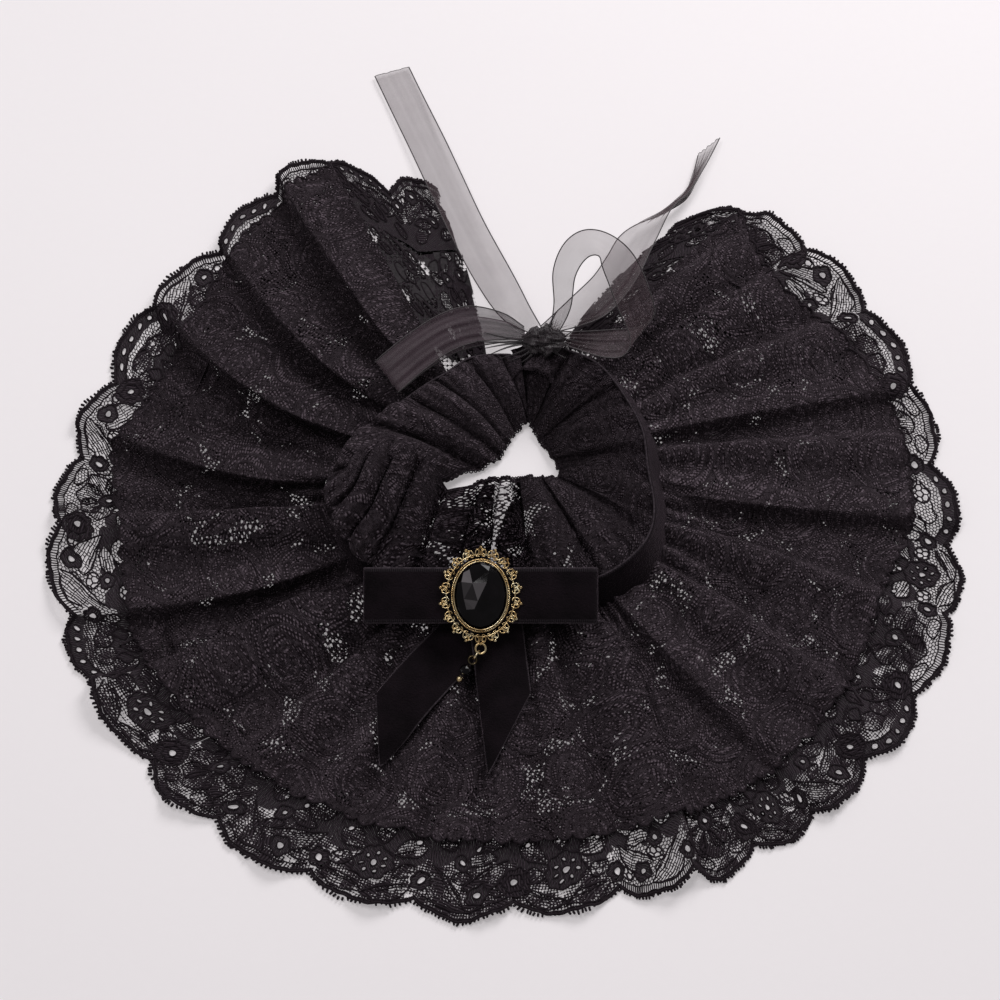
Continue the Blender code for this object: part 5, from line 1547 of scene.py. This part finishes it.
def lay_stone():
    """An oval stone whose flat facets meet off its middle."""
    base = FRAME_THICK + SEAM_GAP
    girdle = oval_line(STONE_WIDE, STONE_TALL, GIRDLE)[:, :2]
    corners = np.concatenate((girdle, girdle * 0.95, STONE_CORNERS))
    made = geometry.delaunay_2d_cdt([Vector(point) for point in corners], [], [], 0, 1e-4)
    flat, faces = np.array([tuple(v) for v in made[0]]), [tuple(f) for f in made[2]]
    out = np.hypot(flat[:, 0] / (STONE_WIDE / 2), flat[:, 1] / (STONE_TALL / 2))
    rise = np.where(out > 0.98, 0.0, 0.26 + 0.70 * np.clip(1.0 - (out / 0.96) ** 2, 0, 1) ** 0.7)
    top = np.concatenate((flat, (base + STONE_RISE * rise)[:, None]), axis=1)
    middles = flat[np.array(faces)].mean(axis=1)
    # Painted reflections on the facets nearest the table's middles
    away = np.hypot(middles[:, None, 0] - FACET_LIGHT[:, 0], middles[:, None, 1] - FACET_LIGHT[:, 1])
    painted_glint = np.where(away.min(axis=1) < 1.5, FACET_LIGHT[away.argmin(axis=1), 2], 0.0)
    under = np.concatenate((oval_line(STONE_WIDE, STONE_TALL, GIRDLE, base), ((0.0, 0.0, base),)))
    faces += [(len(flat) + (k + 1) % GIRDLE, len(flat) + k, len(flat) + GIRDLE) for k in range(GIRDLE)]
    stone = add_mesh("brooch_faceted_stone", on_brooch(np.concatenate((top, under))), faces, STONE, smooth=False,
                     slot="black_stone")
    shine = stone.data.attributes.new("painted_glint", "FLOAT", "FACE")
    shine.data.foreach_set("value", np.concatenate((painted_glint, np.zeros(GIRDLE))))
    bevel = stone.modifiers.new("edges", "BEVEL")
    bevel.width, bevel.segments = 0.12 * MM, 1
    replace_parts(stone, "brooch_stone")


def box_of(node):
    """Middle of a solid's box and its half size, in mm about the neck centre."""
    low, high = (np.array(tuple(corner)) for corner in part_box(node))
    return (low + high) / 2 / MM - CENTRE, (high - low) / 2 / MM


def lay_drop():
    """The bead's flats and its cap, in place of the plain solids. Rings keep their solids."""
    for node in ("brooch_loop", "drop_ring", "drop_eye"):
        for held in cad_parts[node].material_slots:
            held.material = DARK_WIRE if node == "drop_eye" else GOLD
    bead_middle, half = box_of("drop_bead")
    bm = bmesh.new()
    bmesh.ops.create_icosphere(bm, subdivisions=2, radius=1.0)
    ball = np.array([tuple(vert.co) for vert in bm.verts])
    faces = [tuple(vert.index for vert in face.verts) for face in bm.faces]
    bm.free()
    bead = add_mesh("drop_faceted_bead", bead_middle + ball * half * 0.99, faces, STONE, body=DROP, smooth=False,
                    slot="black_stone")
    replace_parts(bead, "drop_bead")
    middle, _ = box_of("drop_cap")
    way = (middle - bead_middle) / np.linalg.norm(middle - bead_middle)
    cords = Cords()
    steps = np.radians(np.linspace(-85, 85, 9))
    cords.add(middle + way * (np.sin(steps) * 1.25)[:, None], np.cos(steps) * 1.2, 12, up=(0.3, 0.2, 1.0))
    cords.add(middle + way * np.array((-1.35, -0.95))[:, None], np.array((0.9, 1.25)), 12, up=(0.3, 0.2, 1.0))
    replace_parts(cords.piece("drop_cap_bead", GOLD, body=DROP, slot="antique_gold"), "drop_cap")


# Surface and light


def add_surface():
    mesh = bpy.data.meshes.new("surface")
    mesh.from_pydata([(x * 3, y * 3, -0.0004) for x, y in ((-1, -1), (1, -1), (1, 1), (-1, 1))], [], [(0, 1, 2, 3)])
    mesh.materials.append(PAPER)
    surface = bpy.data.objects.new("surface", mesh)
    bpy.context.scene.collection.objects.link(surface)


def add_light(name, place, size, power, tint):
    data = bpy.data.lights.new(name, "AREA")
    data.shape, data.size, data.energy, data.color = "SQUARE", size, power, tint
    lamp = bpy.data.objects.new(name, data)
    lamp.location = place
    lamp.rotation_euler = (-Vector(place)).to_track_quat("-Z", "Y").to_euler()
    bpy.context.scene.collection.objects.link(lamp)


def add_room():
    world = bpy.context.scene.world = bpy.data.worlds.new("room")
    world.use_nodes = True
    light = world.node_tree.nodes["Background"].inputs
    light["Color"].default_value, light["Strength"].default_value = (0.98, 0.95, 0.965, 1.0), 0.20


def stand_for(node, pieces):
    """Pieces shown in place of a solid."""
    for piece in pieces:
        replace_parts(piece, node)
    return pieces


lower_ground, lower_fill, lower_net, lower_cords = stand_for("cape_lower_tier", (lay_lower_shell(), *lay_hem_lace()))
upper_cloth, upper_outlines = stand_for("cape_upper_tier", lay_upper_tier())
ruffle_cloth, ruffle_roll, ruffle_picots = stand_for("neck_ruffle", lay_ruffle())
band, band_edges = lay_neck_band()
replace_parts(band, "neck_band")
tails = {name: lay_tail(name) for name in TAILS}
bow, bow_edges = lay_bow()
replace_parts(bow, "bow_bar")
ribbons = {name: lay_ribbon(name, ORGANZA_CLOSE if name == "ribbon_loop_left" else ORGANZA) for name in RIBBONS}
for name, (cloth, _) in (*tails.items(), *ribbons.items()):
    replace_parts(cloth, name)
knot, knot_gathers = lay_knot()
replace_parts(knot, "ribbon_knot")
for lay in (lay_scrollwork, lay_bezel, lay_stone, lay_drop, add_surface, add_room):
    lay()
add_light("softbox_back_right", (0.55, 0.85, 0.85), 0.6, 8.5, (1.0, 0.985, 0.99))
add_light("softbox_above_left", (-0.35, 0.10, 1.25), 0.45, 3.4, (1.0, 0.98, 0.985))
bpy.context.scene.view_settings.view_transform = "Standard"
